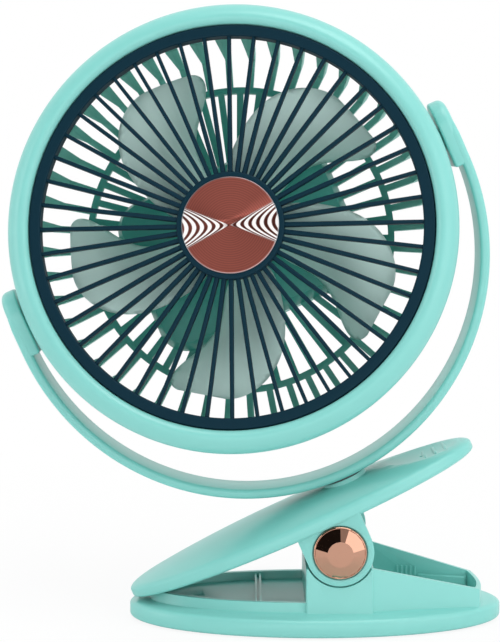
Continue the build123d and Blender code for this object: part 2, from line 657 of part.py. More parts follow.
def front_bezel():
    """The rounded ring round the front, open behind, with half of each trunnion's bearing."""
    crest_r = (BEZEL_IN + HEAD_R) / 2 - 0.6
    lip_r = BEZEL_IN + WALL
    lip_z = GRILLE_BACK + GRILLE_FLANGE_T + 0.1
    inner_r = SEAM_R - WALL
    low = (SEAM_R, 0, SEAM_GAP)
    shoulder = (HEAD_R, 0, 12.5)
    crest = (crest_r, 0, BEZEL_FRONT)
    lip = (BEZEL_IN, 0, GRILLE_FRONT - 1.0)
    outline = [
        Line(low, shoulder),
        ThreePointArc(shoulder, (HEAD_R - 1.2, 0, 17.4), crest),
        ThreePointArc(crest, (BEZEL_IN + 0.9, 0, BEZEL_FRONT - 0.7), lip),
        Line(lip, (BEZEL_IN, 0, lip_z)),
        Line((BEZEL_IN, 0, lip_z), (lip_r, 0, lip_z)),
        Line((lip_r, 0, lip_z), (lip_r, 0, 17.0)),
        ThreePointArc((lip_r, 0, 17.0), (inner_r - 0.7, 0, 14.0), (inner_r, 0, 9.0)),
        Line((inner_r, 0, 9.0), (inner_r, 0, SEAM_GAP)),
        Line((inner_r, 0, SEAM_GAP), low),
    ]
    ring = revolve(make_face(outline), Axis.Z)
    front_half = Pos(0, 0, SEAM_GAP) * Box(3 * HEAD_R, 3 * HEAD_R, 3 * HEAD_R, align=UPRIGHT)
    for side in (-1, 1):
        ring += collar(side) & front_half
    for side in (-1, 1):
        ring -= Rot(0, side * 90, 0) * rod(TRUNNION_R + RUN_GAP, TRUNNION_END - 6, HEAD_R + 4)
    return HEAD.location * ring


def tapered_bar(inner_r, outer_r, inner_w, outer_w, low, high):
    """A straight bar along X that gets wider outwards."""
    plan = make_face(
        Polyline(
            (inner_r, -inner_w / 2),
            (outer_r, -outer_w / 2),
            (outer_r, outer_w / 2),
            (inner_r, inner_w / 2),
            close=True,
        )
    )
    return Pos(0, 0, low) * extrude(plan, high - low)


def front_grille():
    """The dark front guard: outer ring with flange, straight spokes and the hub's cup."""
    ring = turned(
        [
            (GRILLE_IN, GRILLE_BACK),
            (GRILLE_FLANGE, GRILLE_BACK),
            (GRILLE_FLANGE, GRILLE_BACK + GRILLE_FLANGE_T),
            (GRILLE_OUT, GRILLE_BACK + GRILLE_FLANGE_T),
            (GRILLE_OUT, GRILLE_FRONT - 0.8),
            (GRILLE_OUT - 0.8, GRILLE_FRONT),
            (GRILLE_IN + 0.6, GRILLE_FRONT),
            (GRILLE_IN, GRILLE_FRONT - 0.6),
        ]
    )
    hub = turned(
        [
            (0, GRILLE_BACK),
            (HUB_RING_R - 0.8, GRILLE_BACK),
            (HUB_RING_R, GRILLE_BACK + 0.8),
            (HUB_RING_R, GRILLE_FRONT - 0.5),
            (HUB_RING_R - 0.5, GRILLE_FRONT),
            (DISC_R + SEAT_GAP, GRILLE_FRONT),
            (DISC_R + SEAT_GAP, GRILLE_FRONT - DISC_T),
            (0, GRILLE_FRONT - DISC_T),
        ]
    )
    low = GRILLE_FRONT - 0.7 - SPOKE_DEPTH
    bar = tapered_bar(HUB_RING_R - 1, GRILLE_IN + 1, SPOKE_IN_W, SPOKE_OUT_W, low, low + SPOKE_DEPTH)
    bars = [Rot(0, 0, SPOKE_PHASE + index * 360 / SPOKES) * bar for index in range(SPOKES)]
    return HEAD.location * ring.fuse(hub, *bars)


def hub_disc():
    """The turned metal disc in the middle of the guard, very slightly dished."""
    back = GRILLE_FRONT - DISC_T + SEAT_GAP
    disc = turned(
        [
            (0, back),
            (DISC_R, back),
            (DISC_R, GRILLE_FRONT - 0.1),
            (DISC_R - 0.5, GRILLE_FRONT + 0.3),
            (0, GRILLE_FRONT + 0.3 - DISC_DISH),
        ]
    )
    return HEAD.location * disc


# ------------------------------------------------------------------ the head's back
def rear_shell():
    """The tapering shell behind the bezel, with the other half of each trunnion's bearing."""
    corner = (SHELL_R, 0, SHELL_BACK + 0.8)
    inner_r = SEAM_R - WALL
    pocket_r = RIM_OUT + SEAT_GAP
    outline = [
        Line((SEAM_R - 0.3, 0, -SEAM_GAP), (inner_r, 0, -SEAM_GAP)),
        Line((inner_r, 0, -SEAM_GAP), (inner_r, 0, -4.0)),
        Line((inner_r, 0, -4.0), (pocket_r, 0, RIM_BACK)),
        Line((pocket_r, 0, RIM_BACK), (LIP_IN, 0, RIM_BACK)),
        Line((LIP_IN, 0, RIM_BACK), (LIP_IN, 0, SHELL_BACK)),
        Line((LIP_IN, 0, SHELL_BACK), (SHELL_R - 0.8, 0, SHELL_BACK)),
        Line((SHELL_R - 0.8, 0, SHELL_BACK), corner),
        ThreePointArc(corner, (SEAM_R - 0.75, 0, -5.4), (SEAM_R - 0.3, 0, -SEAM_GAP)),
    ]
    ring = revolve(make_face(outline), Axis.Z)
    rear_half = Box(3 * HEAD_R, 3 * HEAD_R, 3 * HEAD_R, align=UPRIGHT)
    rear_half = Rot(180, 0, 0) * Pos(0, 0, SEAM_GAP) * rear_half
    for side in (-1, 1):
        ring += collar(side) & rear_half
    for side in (-1, 1):
        ring -= Rot(0, side * 90, 0) * rod(TRUNNION_R + RUN_GAP, TRUNNION_END - 6, HEAD_R + 4)
    return HEAD.location * ring


def pod_plan(grow):
    """The rounded rectangle of the pod."""
    width = 2 * (POD_A + grow)
    height = 2 * (POD_B + grow)
    return Pos(0, -POD_DOWN) * RectangleRounded(width, height, POD_R + grow)


def pod_shell(grow, front, back):
    """The pod as a solid: drafted inside the basket, nearly straight behind it."""
    waist = BACK_FACE + RIB_T
    draft = (front - waist) * tan(radians(POD_DRAFT))
    middle = Pos(0, 0, waist) * pod_plan(grow).face()
    nose = loft([Pos(0, 0, front) * pod_plan(grow - draft).face(), middle], ruled=True)
    tail = loft([middle, Pos(0, 0, back) * pod_plan(grow - POD_TAPER).face()], ruled=True)
    return nose + tail


def basket_ribs():
    """Two rows of ribs: outer ones that turn forwards at the kink, inner ones between them."""
    flat_top = BACK_FACE + RIB_T
    outer_rib = make_face(
        Polyline(
            (BACK_RING_R, BACK_FACE),
            (KINK_R, BACK_FACE),
            (NECK_R, SHELL_BACK),
            (NECK_R, RIM_BACK + RIM_T),
            (NECK_R - SIDE_RIB_T, RIM_BACK + RIM_T),
            (KINK_R - SIDE_RIB_T, flat_top),
            (BACK_RING_R, flat_top),
            close=True,
        )
    )
    outer_rib = Plane.XZ * extrude(outer_rib, BACK_RIB_W / 2, both=True)
    reach = BACK_RING_R - POD_B + 6
    inner_rib = Box(reach, BACK_RIB_W, RIB_T, align=(Align.MAX, Align.CENTER, Align.MIN))
    inner_rib = Pos(BACK_RING_R, 0, BACK_FACE) * inner_rib
    pitch = 360 / BACK_RIBS
    ribs = [Rot(0, 0, BACK_PHASE + pitch * n) * outer_rib for n in range(BACK_RIBS)]
    ribs += [Rot(0, 0, BACK_PHASE + pitch * (n + 0.5)) * inner_rib for n in range(BACK_RIBS)]
    return ribs


def cell_place():
    """The middle of the cell, lying along the tilt axis."""
    return Pos(0, CELL_UP - POD_DOWN, CELL_Z) * Rot(0, 90, 0)


def cradle(x):
    """A rib in the pod that carries the cell."""
    low = CELL_UP - CELL_R * 0.8
    height = POD_B - WALL + 0.3 - low
    depth = POD_FRONT - WALL + 0.5 - CELL_Z
    plate = Box(CRADLE_T, height, depth, align=(Align.CENTER, Align.MIN, Align.MIN))
    return Pos(x, low - POD_DOWN, CELL_Z) * plate


def rear_grille():
    """The basket behind the blades: two staggered rows of ribs, a ring, a rim and the pod."""
    ring_out = BACK_RING_R + BACK_RING_W / 2
    ring = tube(ring_out, ring_out - BACK_RING_W, BACK_FACE, BACK_FACE + RIB_T)
    rim = tube(RIM_OUT, RIM_IN, RIM_BACK + SEAT_GAP, RIM_BACK + RIM_T)
    basket = rim.fuse(ring, *basket_ribs(), pod_shell(0, POD_FRONT, POD_BACK))
    basket -= pod_shell(-WALL, POD_FRONT - WALL, POD_BACK - 0.01)
    basket -= rod(MOTOR_NOSE_R + 0.3, POD_FRONT - 5, POD_FRONT + 1)
    for x, y in cover_screw_places():
        basket += Pos(x, y, 0) * rod(3.2, POD_BACK, POD_FRONT - WALL + 0.5)
    for x, y in cover_screw_places():
        basket -= Pos(x, y, 0) * rod(SCREW_R - 0.3, POD_BACK - 1, POD_BACK + 9)
    for side in (-1, 1):
        basket += cradle(side * CELL_LEN * 0.3)
        post = rod(1.8, BOARD_Z + BOARD_T, POD_FRONT - 1)
        basket += Pos(side * BOARD_W * 0.43, BOARD_DOWN + 5, 0) * post
    basket -= cell_place() * Cylinder(CELL_R + SEAT_GAP, CELL_LEN + 4)
    basket -= port_place() * extrude(SlotOverall(PORT_W + 0.6, PORT_H + 0.6), 12, both=True)
    return HEAD.location * basket


def cover_screw_places():
    """Where the four screws of the pod's cover go."""
    corners = [(-1, -1), (-1, 1), (1, -1), (1, 1)]
    return [(i * COVER_SCREW_X, j * COVER_SCREW_Y - POD_DOWN) for i, j in corners]


def port_place():
    """The middle of the charging port's mouth, in the pod's lower wall."""
    return Pos(PORT_X, -POD_DOWN - POD_B, BOARD_Z + BOARD_T + PORT_H / 2) * Rot(90, 0, 0)


def pod_cover():
    """The cover that closes the pod, with openings for the button and the lights."""
    plate = Pos(0, 0, COVER_BACK) * extrude(pod_plan(-POD_TAPER), COVER_T - 0.1)
    plate = fillet(plate.faces().sort_by(Axis.Z)[0].edges(), COVER_ROUND)
    inside = Pos(0, 0, COVER_BACK + COVER_SKIN) * extrude(pod_plan(-POD_TAPER - WALL), COVER_T)
    plate -= inside
    plate -= Pos(0, BOARD_DOWN, 0) * rod(BUTTON_R + 0.25, COVER_BACK - 1, POD_BACK)
    for place in lens_places():
        plate -= place * rod(LENS_R + SEAT_GAP, COVER_BACK - 1, POD_BACK)
    for x, y in cover_screw_places():
        plate += Pos(x, y, 0) * rod(3.4, COVER_BACK + 1.9, POD_BACK - 0.1)
    bore = rod(SCREW_R + 0.1, COVER_BACK - 1, POD_BACK) + rod(2.9, COVER_BACK - 1, COVER_BACK + 1.6)
    for x, y in cover_screw_places():
        plate -= Pos(x, y, 0) * bore
    return HEAD.location * plate


def cover_screws():
    """The four screws of the cover, in counterbores."""
    parts = []
    for x, y in cover_screw_places():
        fixed = screw(2.7, 1.3, SCREW_R - 0.32, 8.0)
        parts.append(Pos(x, y, COVER_BACK + 1.6) * fixed)
    return HEAD.location * Compound(parts)


# ------------------------------------------------------------------ inside the pod
def motor():
    """The round motor behind the pod's face, with its bearing nose."""
    front = POD_FRONT - WALL - 0.02
    can = rod(MOTOR_R, front - MOTOR_LEN, front)
    can = fillet(can.edges().group_by(Axis.Z)[0], 1.2)
    can += rod(MOTOR_NOSE_R, front - 1, POD_FRONT + 0.6)
    can += rod(3.0, front - MOTOR_LEN - 1.0, front - MOTOR_LEN + 1)
    return HEAD.location * (can - rod(SHAFT_R + RUN_GAP, front - MOTOR_LEN + 2, POD_FRONT + 2))


def battery():
    """The round rechargeable cell across the top of the pod."""
    cell = Cylinder(CELL_R, CELL_LEN)
    cell = fillet(cell.edges(), 0.8)
    cell += Pos(0, 0, CELL_LEN / 2) * Cylinder(2.8, 1.6)
    return HEAD.location * (cell_place() * cell)


def control_board():
    """The circuit board behind the cover, with the switch under the button."""
    board = Pos(0, BOARD_DOWN, BOARD_Z) * Box(BOARD_W, BOARD_H, BOARD_T, align=UPRIGHT)
    switch_back = COVER_BACK + COVER_SKIN + FLANGE_T + BUTTON_TRAVEL + 0.1
    board += Pos(0, BOARD_DOWN, switch_back) * Box(6, 6, BOARD_Z - switch_back + 0.1, align=UPRIGHT)
    chip = Box(5, 4, 2.1, align=UPRIGHT)
    for x in (-20.0, -12.0, 12.0):
        board += Pos(x, BOARD_DOWN + 2, BOARD_Z + BOARD_T - 0.1) * chip
    return HEAD.location * board


def charge_port():
    """The metal shell of the charging socket, with its tongue."""
    outer = SlotOverall(PORT_W, PORT_H)
    inner = SlotOverall(PORT_W - 0.7, PORT_H - 0.7)
    shell = extrude(outer, -PORT_DEPTH) - extrude(inner, -(PORT_DEPTH - 0.8))
    tongue = Pos(0, 0, -PORT_DEPTH + 0.4) * extrude(Rectangle(PORT_W - 2.6, 0.7), PORT_DEPTH - 1.8)
    return HEAD.location * (port_place() * Pos(0, 0, -0.4) * (shell + tongue))


def lens_places():
    """Where the indicator lights stand in the cover."""
    return [Pos(-LENS_X - LENS_GAP * n, BOARD_DOWN, 0) for n in range(LENS_COUNT)]


def indicator_lenses():
    """The small clear rods that show the charge."""
    parts = [place * rod(LENS_R, COVER_BACK - 0.15, BOARD_Z - 0.4) for place in lens_places()]
    return HEAD.location * Compound(parts)


def speed_button():
    """The round button in the cover, with the flange that keeps it in."""
    flange = COVER_BACK + COVER_SKIN + 0.1
    button = rod(BUTTON_R, COVER_BACK - BUTTON_PROUD, flange + 0.1)
    button = fillet(button.edges().group_by(Axis.Z)[0], 0.7)
    dish = Pos(0, 0, COVER_BACK - BUTTON_PROUD - 19.6) * Sphere(20)
    button = button - dish + rod(BUTTON_FLANGE, flange, flange + FLANGE_T - 0.1)
    return HEAD.location * (Pos(0, BOARD_DOWN, 0) * button)


# ------------------------------------------------------------------ the impeller
def blade_section(radius, chord, lean, turn):
    """The thin cambered section of a blade at one radius, leaning and turned about the axis."""
    half = chord / 2
    rise = chord * BLADE_CAMBER
    edge = BLADE_EDGE / 2
    front = ThreePointArc((-half, edge), (0, rise + BLADE_T / 2), (half, edge))
    back = ThreePointArc((-half, -edge), (0, rise - BLADE_T / 2), (half, -edge))
    outline = make_face([front, Line(front @ 1, back @ 1), back, Line(back @ 0, front @ 0)])
    across = Plane(origin=(radius, 0, 0), x_dir=(0, 1, 0), z_dir=(1, 0, 0))
    return Rot(0, 0, turn) * (across * (Rot(0, 0, lean) * outline))


def blade():
    """One broad paddle, lofted through thin sections at six radii."""
    stations = [
        # radius, chord, lean of the chord and turn about the axis, both in degrees
        (15.5, 15.0, 42.0, 30.0),
        (28.0, 29.0, 33.0, 24.0),
        (42.0, 36.0, 26.0, 16.5),
        (55.0, 42.0, 21.0, 6.5),
        (62.0, 36.0, 18.0, 2.0),
        (BLADE_TIP_R, 21.0, 17.0, -1.0),
    ]
    return loft([blade_section(*station).face() for station in stations])


def impeller():
    """Five paddles on a hollow hub with ribs inside."""
    hub = turned(
        [
            (0, ROTOR_FRONT - ROTOR_WALL),
            (0, ROTOR_FRONT),
            (ROTOR_R - 3, ROTOR_FRONT),
            (ROTOR_R, ROTOR_FRONT - 3),
            (ROTOR_R, ROTOR_BACK),
            (ROTOR_R - ROTOR_WALL, ROTOR_BACK),
            (ROTOR_R - ROTOR_WALL, ROTOR_FRONT - 3.6),
            (ROTOR_R - 3.8, ROTOR_FRONT - ROTOR_WALL),
        ]
    )
    hub += rod(3.6, POD_FRONT + 1.4, ROTOR_FRONT)
    for index in range(6):
        rib = Box(ROTOR_R - 3, 1.2, 9, align=(Align.MIN, Align.CENTER, Align.MAX))
        hub += Rot(0, 0, 60 * index) * Pos(2.5, 0, ROTOR_FRONT - 0.5) * rib
    paddle = blade()
    for index in range(BLADES):
        hub += Rot(0, 0, BLADE_PHASE + index * 360 / BLADES) * paddle
    hub -= rod(ROTOR_R - ROTOR_WALL, ROTOR_BACK - 20, ROTOR_FRONT - 12)
    hub += rod(3.6, POD_FRONT + 1.4, ROTOR_FRONT - 5)
    return HEAD.location * (hub - rod(SHAFT_R + SEAT_GAP, -60, SHAFT_FRONT))


def motor_shaft():
    """The steel shaft from the motor into the impeller."""
    back = POD_FRONT - WALL - MOTOR_LEN + 2.4
    shaft = rod(SHAFT_R, back, SHAFT_FRONT - 0.2)
    return HEAD.location * shaft


PIECES = {
    "base_plate": base_plate,
    "base_pad": base_pad,
    "hinge_pin": hinge_pin,
    "pivot_cap_front": lambda: pivot_cap(-1),
    "pivot_cap_rear": lambda: pivot_cap(1),
    "torsion_spring": torsion_spring,
    "upper_jaw": upper_jaw,
    "jaw_pad": jaw_pad,
    "swivel_ring": swivel_ring,
    "swivel_washer": swivel_washer,
    "swivel_screw": swivel_screw,
    "yoke_arm": yoke_arm,
    "tilt_washers": tilt_washers,
    "tilt_screws": tilt_screws,
    "front_bezel": front_bezel,
    "front_grille": front_grille,
    "hub_disc": hub_disc,
    "rear_shell": rear_shell,
    "rear_grille": rear_grille,
    "pod_cover": pod_cover,
    "cover_screws": cover_screws,
    "motor": motor,
    "battery": battery,
    "control_board": control_board,
    "charge_port": charge_port,
    "indicator_lenses": indicator_lenses,
    "speed_button": speed_button,
    "impeller": impeller,
    "motor_shaft": motor_shaft,
}

os.makedirs("parts", exist_ok=True)
for name, make in PIECES.items():
    export_step(make(), f"parts/{name}.step")
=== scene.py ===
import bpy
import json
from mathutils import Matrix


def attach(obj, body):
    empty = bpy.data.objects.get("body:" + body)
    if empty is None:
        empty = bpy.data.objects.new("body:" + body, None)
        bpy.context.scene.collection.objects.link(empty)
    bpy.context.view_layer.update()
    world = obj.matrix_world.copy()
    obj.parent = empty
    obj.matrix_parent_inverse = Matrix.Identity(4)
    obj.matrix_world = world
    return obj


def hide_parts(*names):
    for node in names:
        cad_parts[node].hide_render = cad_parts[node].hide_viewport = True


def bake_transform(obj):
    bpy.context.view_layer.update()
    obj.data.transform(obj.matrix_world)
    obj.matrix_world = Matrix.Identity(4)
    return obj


bl_info = {
    "name": "Clip fan",
    "version": (1, 0, 0),
    "blender": (4, 5, 0),
    "location": "3D View > Sidebar > Clip fan",
    "description": "Dresses the clip fan's solids and sets up its studio",
    "category": "Object",
}

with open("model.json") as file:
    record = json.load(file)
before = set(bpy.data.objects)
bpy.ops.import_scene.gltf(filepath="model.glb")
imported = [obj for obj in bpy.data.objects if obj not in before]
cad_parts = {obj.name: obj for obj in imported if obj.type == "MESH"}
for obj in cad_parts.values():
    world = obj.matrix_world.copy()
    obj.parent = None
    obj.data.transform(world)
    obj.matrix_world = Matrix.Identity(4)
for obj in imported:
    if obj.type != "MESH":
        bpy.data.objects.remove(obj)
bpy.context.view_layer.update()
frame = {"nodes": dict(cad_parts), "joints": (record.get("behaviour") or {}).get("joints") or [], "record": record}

import json
from math import cos, pi, radians, sin

import bpy
from mathutils import Matrix, Vector

MM = 0.001
HAIR = 0.01 * MM  # a margin for finding points by their place
NODES = frame["nodes"]
JOINTS = {joint["name"]: joint for joint in frame["joints"]}

TILT_AXIS = Vector(JOINTS["head_tilt"]["axis"]).normalized()
FAN_AXIS = Vector(JOINTS["fan_spin"]["axis"]).normalized()
HEAD_CENTRE = Vector(JOINTS["head_tilt"]["pos_m"])
PIVOT = Vector(JOINTS["clip_hinge"]["pos_m"])
RIGHT = Vector((1, 0, 0))
FORWARDS = Vector((0, -1, 0))
BACKWARDS = Vector((0, 1, 0))


def local_frame(origin, x_axis, z_axis):
    """A matrix that takes a piece drawn at the origin to its place on the fan."""
    y_axis = z_axis.cross(x_axis).normalized()
    turn = Matrix((x_axis, y_axis, z_axis)).transposed()
    return Matrix.Translation(origin) @ turn.to_4x4()


# Each piece is drawn in one of these frames. The head's z runs along the fan's axis to the front,
# and the z of the yoke and of each cap points straight forwards or backwards.
HEAD = local_frame(HEAD_CENTRE, TILT_AXIS, FAN_AXIS)
YOKE = local_frame(HEAD_CENTRE, TILT_AXIS, FORWARDS)
FRONT_CAP = local_frame(PIVOT, RIGHT, FORWARDS)
REAR_CAP = local_frame(PIVOT, RIGHT, BACKWARDS)


# ---------------------------------------------------------------- colours and sizes
def linear(code):
    """An sRGB hex colour as linear values, opaque."""
    parts = [int(code[start:start + 2], 16) / 255 for start in (1, 3, 5)]
    return tuple(c / 12.92 if c <= 0.04045 else ((c + 0.055) / 1.055) ** 2.4 for c in parts) + (1.0,)


WHITE = linear("#FFFFFF")


def colour(name, description, code):
    """A colour that the user can change."""
    return bpy.props.FloatVectorProperty(
        name=name, description=description, subtype="COLOR", size=4, min=0, max=1, default=linear(code)
    )


def length(name, description, mm):
    """A length that the user can change, kept in metres."""
    return bpy.props.FloatProperty(
        name=name, description=description, subtype="DISTANCE", unit="LENGTH", default=mm * MM
    )


def number(name, description, default, smallest):
    """A whole number that the user can change."""
    return bpy.props.IntProperty(name=name, description=description, default=default, min=smallest)


class ClipFanColours(bpy.types.PropertyGroup):
    """Colours of the fan's finishes."""

    mint: colour("Mint", "Shell of the clip, the yoke and the ring", "#84CFC8")
    guard: colour("Guard", "Dark front guard", "#062B39")
    # the basket is mint plastic: these two colours are painted shade, deep teal, and painted light, paler at the
    # rim
    basket: colour("Basket", "Pod and inner ribs behind the blades", "#37A598")
    basket_rim_painted_light: colour("Basket rim", "Outer ends of the ribs", "#82D2C4")
    blade: colour("Blades", "Impeller", "#D6F8F1")
    copper: colour("Copper", "Turned disc in the hub", "#D2786A")
    rose: colour("Rose metal", "Plated caps of the hinge", "#C4957F")
    rubber: colour("Rubber", "Pads and washers", "#565B5C")
    floor: colour("Floor", "Studio floor and backdrop", "#F2F2F2")


class ClipFanSizes(bpy.types.PropertyGroup):
    """Sizes of the pieces that are drawn here."""

    head_radius: length("Head radius", "Widest radius of the mint ring", 88.4)
    seam_radius: length("Seam radius", "Radius where the ring and the shell behind it meet", 87.8)
    bezel_front: length("Ring front", "Front of the mint ring, ahead of the tilt axis", 20.5)
    bezel_opening: length("Ring opening", "Radius of the ring's front opening", 79.4)
    shell_back: length("Shell back", "Back edge of the shell, from the tilt axis", -11.6)
    shell_radius: length("Shell radius", "Outer radius of the shell's back edge", 86.2)
    shell_mouth: length("Shell mouth", "Radius of the opening in the shell's back", 83.4)
    wall: length("Wall", "Wall of the head's mouldings", 2.2)
    guard_front: length("Guard front", "Front of the guard, ahead of the tilt axis", 19.0)
    guard_back: length("Guard back", "Back of the guard's ring", 13.4)
    guard_outer: length("Guard radius", "Outer radius of the guard's ring", 79.1)
    guard_inner: length("Guard opening", "Inner radius of the guard's ring", 74.7)
    guard_flange: length("Guard flange", "Radius of the flange behind the mint ring", 83.0)
    hub_radius: length("Hub radius", "Outer radius of the guard's hub", 21.1)
    disc_radius: length("Disc radius", "Radius of the turned disc", 19.0)
    # the bevel's brightness is a pale painted highlight in the disc's colour
    disc_bevel: length("Disc bevel", "Width of the bright bevel round the turned disc", 0.5)
    spoke_outer: length("Spoke width outside", "Width of a spoke at the ring", 1.4)
    spoke_hub: length("Spoke width at hub", "Width of a spoke at the hub", 1.8)
    spoke_depth: length("Spoke depth", "Depth of a spoke", 3.8)
    spokes: number("Spokes", "Number of spokes", 48, 8)
    basket_ribs: number("Basket ribs", "Number of ribs in the basket's outer row", 48, 8)
    yoke_half: length("Yoke half span", "From the middle of the head to an arm's outer face", 96.3)
    yoke_drop: length("Yoke drop", "From the tilt axis down to the yoke's foot", 107.2)
    arm: length("Straight arm", "Straight part of each arm below the tilt axis", 10.0)
    strap: length("Strap", "Thickness of the yoke's strap", 3.8)
    strap_depth: length("Strap depth", "Width of the strap, front to back", 20.0)
    pad_face: length("Pad face", "From the middle of the head to a pad's inner face", 89.6)
    trunnion_end: length("Trunnion end", "From the middle of the head to a trunnion's end", 81.0)
    trunnion_radius: length("Trunnion radius", "Radius of a trunnion", 4.5)
    post_radius: length("Post radius", "Radius of the swivel's post", 6.0)
    post_end: length("Post end", "Lower end of the swivel's post, from the foot", -9.0)
    foot_radius: length("Foot radius", "Radius of the yoke's round foot", 8.8)
    screw_hole: length("Screw hole", "Radius of the screw holes in the yoke", 1.52)
    cap_radius: length("Cap radius", "Radius of a hinge cap", 10.4)
    cap_flat: length("Cap flat", "Radius of a cap's flat middle", 5.1)
    cap_rise: length("Cap rise", "How far a cap stands out", 3.4)
    cap_facets: number("Cap facets", "Facets round a cap", 18, 3)
    ear_face: length("Ear face", "From the middle of the clip to an ear's outer face", 28.4)


def sizes():
    """The scene's sizes."""
    return bpy.context.scene.clip_fan_sizes


def colours():
    """The scene's colours."""
    return bpy.context.scene.clip_fan_colours


# ---------------------------------------------------------------- materials
def connect(tree, node, inputs):
    """Sets a node's inputs, or links them to sockets or to the output of other nodes."""
    for name, value in inputs.items():
        if isinstance(value, bpy.types.Node):
            value = next(socket for socket in value.outputs if socket.enabled)
        if isinstance(value, bpy.types.NodeSocket):
            tree.links.new(value, node.inputs[name])
        else:
            node.inputs[name].default_value = value


def add(tree, kind, settings=None, inputs=None):
    """Adds a node, sets its properties, and sets or links its inputs."""
    node = tree.nodes.new("ShaderNode" + kind)
    for name, value in (settings or {}).items():
        setattr(node, name, value)
    connect(tree, node, inputs or {})
    return node


def bare_material(name):
    """A material without nodes; returns it with its tree and its object coordinates."""
    material = bpy.data.materials.new(name)
    material.use_nodes = True
    tree = material.node_tree
    tree.nodes.clear()
    return material, tree, add(tree, "TexCoord").outputs["Object"]


def new_material(name, base, roughness, metallic=0.0, **shader):
    """A material with a principled shader; returns it with its tree, shader and coordinates."""
    material, tree, place = bare_material(name)
    look = {"Base Color": base, "Roughness": roughness, "Metallic": metallic} | shader
    surface = add(tree, "BsdfPrincipled", inputs=look)
    add(tree, "OutputMaterial", inputs={"Surface": surface})
    return material, tree, surface, place


def tone(base, factor):
    """A darker or lighter version of a colour."""
    return tuple(min(1.0, c * factor) for c in base[:3]) + (1.0,)


def mottle(tree, surface, place, base, size_mm, spread):
    """Varies the colour a little from place to place, in blotches of the given size."""
    pattern = {"Vector": place, "Scale": 1 / (size_mm * MM), "Detail": 2.0}
    blotches = add(tree, "TexNoise", inputs=pattern)
    shades = {"A": tone(base, 1 - spread), "B": tone(base, 1 + spread)}
    tint = add(tree, "Mix", {"data_type": "RGBA"}, {"Factor": blotches} | shades)
    connect(tree, surface, {"Base Color": tint})


def roughen(tree, surface, place, size_mm, detail, depth_mm, strength):
    """Raises and lowers the surface by a grain of the given size and depth."""
    pattern = {"Vector": place, "Scale": 1 / (size_mm * MM), "Detail": detail}
    grain = add(tree, "TexNoise", inputs=pattern)
    relief = {"Height": grain, "Distance": depth_mm * MM, "Strength": strength}
    connect(tree, surface, {"Normal": add(tree, "Bump", inputs=relief)})


def local_place(tree, place, where):
    """Coordinates in a local frame of the fan, and the distance from that frame's axis."""
    origin = {"Location": where.translation, "Rotation": where.to_euler("XYZ")}
    local = add(tree, "Mapping", {"vector_type": "TEXTURE"}, {"Vector": place} | origin)
    flat = add(tree, "VectorMath", {"operation": "MULTIPLY"}, {0: local, 1: (1, 1, 0)})
    return local, add(tree, "VectorMath", {"operation": "LENGTH"}, {0: flat})


def gloss_plastic(name, base, roughness=0.3, shine=0.5):
    """Injection-moulded ABS: even colour, soft gloss, a faint flow unevenness of 14 mm."""
    material, tree, surface, place = new_material(name, base, roughness, **{"Specular IOR Level": shine})
    mottle(tree, surface, place, base, size_mm=14.0, spread=0.02)
    # real tool marks, 0.05 mm wide, are too fine to show, so these are 0.9 mm wide
    roughen(tree, surface, place, size_mm=0.9, detail=3.0, depth_mm=0.02, strength=0.12)
    return material


def basket_plastic(name, base, rim):
    """Moulded ABS of the basket: mint darkened by painted shade to deep teal at the pod, and lightened by painted
    light towards the rim.
    """
    material, tree, surface, place = new_material(name, base, 0.4)
    deep, pale = 60 * MM, 80 * MM  # painted shade inside the first radius gives way to painted light by the second
    away = local_place(tree, place, HEAD)[1]
    outwards = add(tree, "MapRange", inputs={"Value": away, "From Min": deep, "From Max": pale})
    tint = add(tree, "Mix", {"data_type": "RGBA"}, {"Factor": outwards, "A": base, "B": rim})
    # pale flow marks, 10 mm across, that lift the colour by 3 percent at most
    flow = add(tree, "TexNoise", inputs={"Vector": place, "Scale": 1 / (10.0 * MM), "Detail": 2.0})
    limits = {"From Min": 0.2, "From Max": 0.8, "To Min": 0.0, "To Max": 0.03}
    marks = add(tree, "MapRange", inputs={"Value": flow} | limits)
    moulded = add(tree, "Mix", {"data_type": "RGBA"}, {"Factor": marks, "A": tint, "B": WHITE})
    connect(tree, surface, {"Base Color": moulded})
    # tool marks drawn as coarse as on the other ABS
    roughen(tree, surface, place, size_mm=0.9, detail=3.0, depth_mm=0.02, strength=0.12)
    return material


def matte_plastic(name, base):
    """Spark-eroded polypropylene: dull sheen with a grain of about 0.6 mm."""
    material, tree, surface, place = new_material(name, base, 0.48)
    mottle(tree, surface, place, base, size_mm=9.0, spread=0.03)
    roughen(tree, surface, place, size_mm=0.6, detail=2.0, depth_mm=0.03, strength=0.25)
    return material


def soft_rubber(name, base):
    """Silicone rubber: matte, with a dusty grain of 0.5 mm."""
    material, tree, surface, place = new_material(name, base, 0.75)
    mottle(tree, surface, place, base, size_mm=4.0, spread=0.08)
    roughen(tree, surface, place, size_mm=0.5, detail=2.0, depth_mm=0.04, strength=0.4)
    return material


def plain_steel(name, base):
    """Zinc-plated steel: bright, with the fine grain of the plating, 0.4 mm across."""
    material, tree, surface, place = new_material(name, base, 0.32, 1.0)
    mottle(tree, surface, place, base, size_mm=3.0, spread=0.06)
    roughen(tree, surface, place, size_mm=0.4, detail=4.0, depth_mm=0.01, strength=0.3)
    return material


def plated_rose(name, base):
    """Rose-gold plating over polished zinc: a clean mirror with a slight orange-peel of 3 mm."""
    material, tree, surface, place = new_material(name, base, 0.07, 1.0)
    mottle(tree, surface, place, base, size_mm=5.0, spread=0.02)
    roughen(tree, surface, place, size_mm=3.0, detail=1.0, depth_mm=0.01, strength=0.05)
    return material


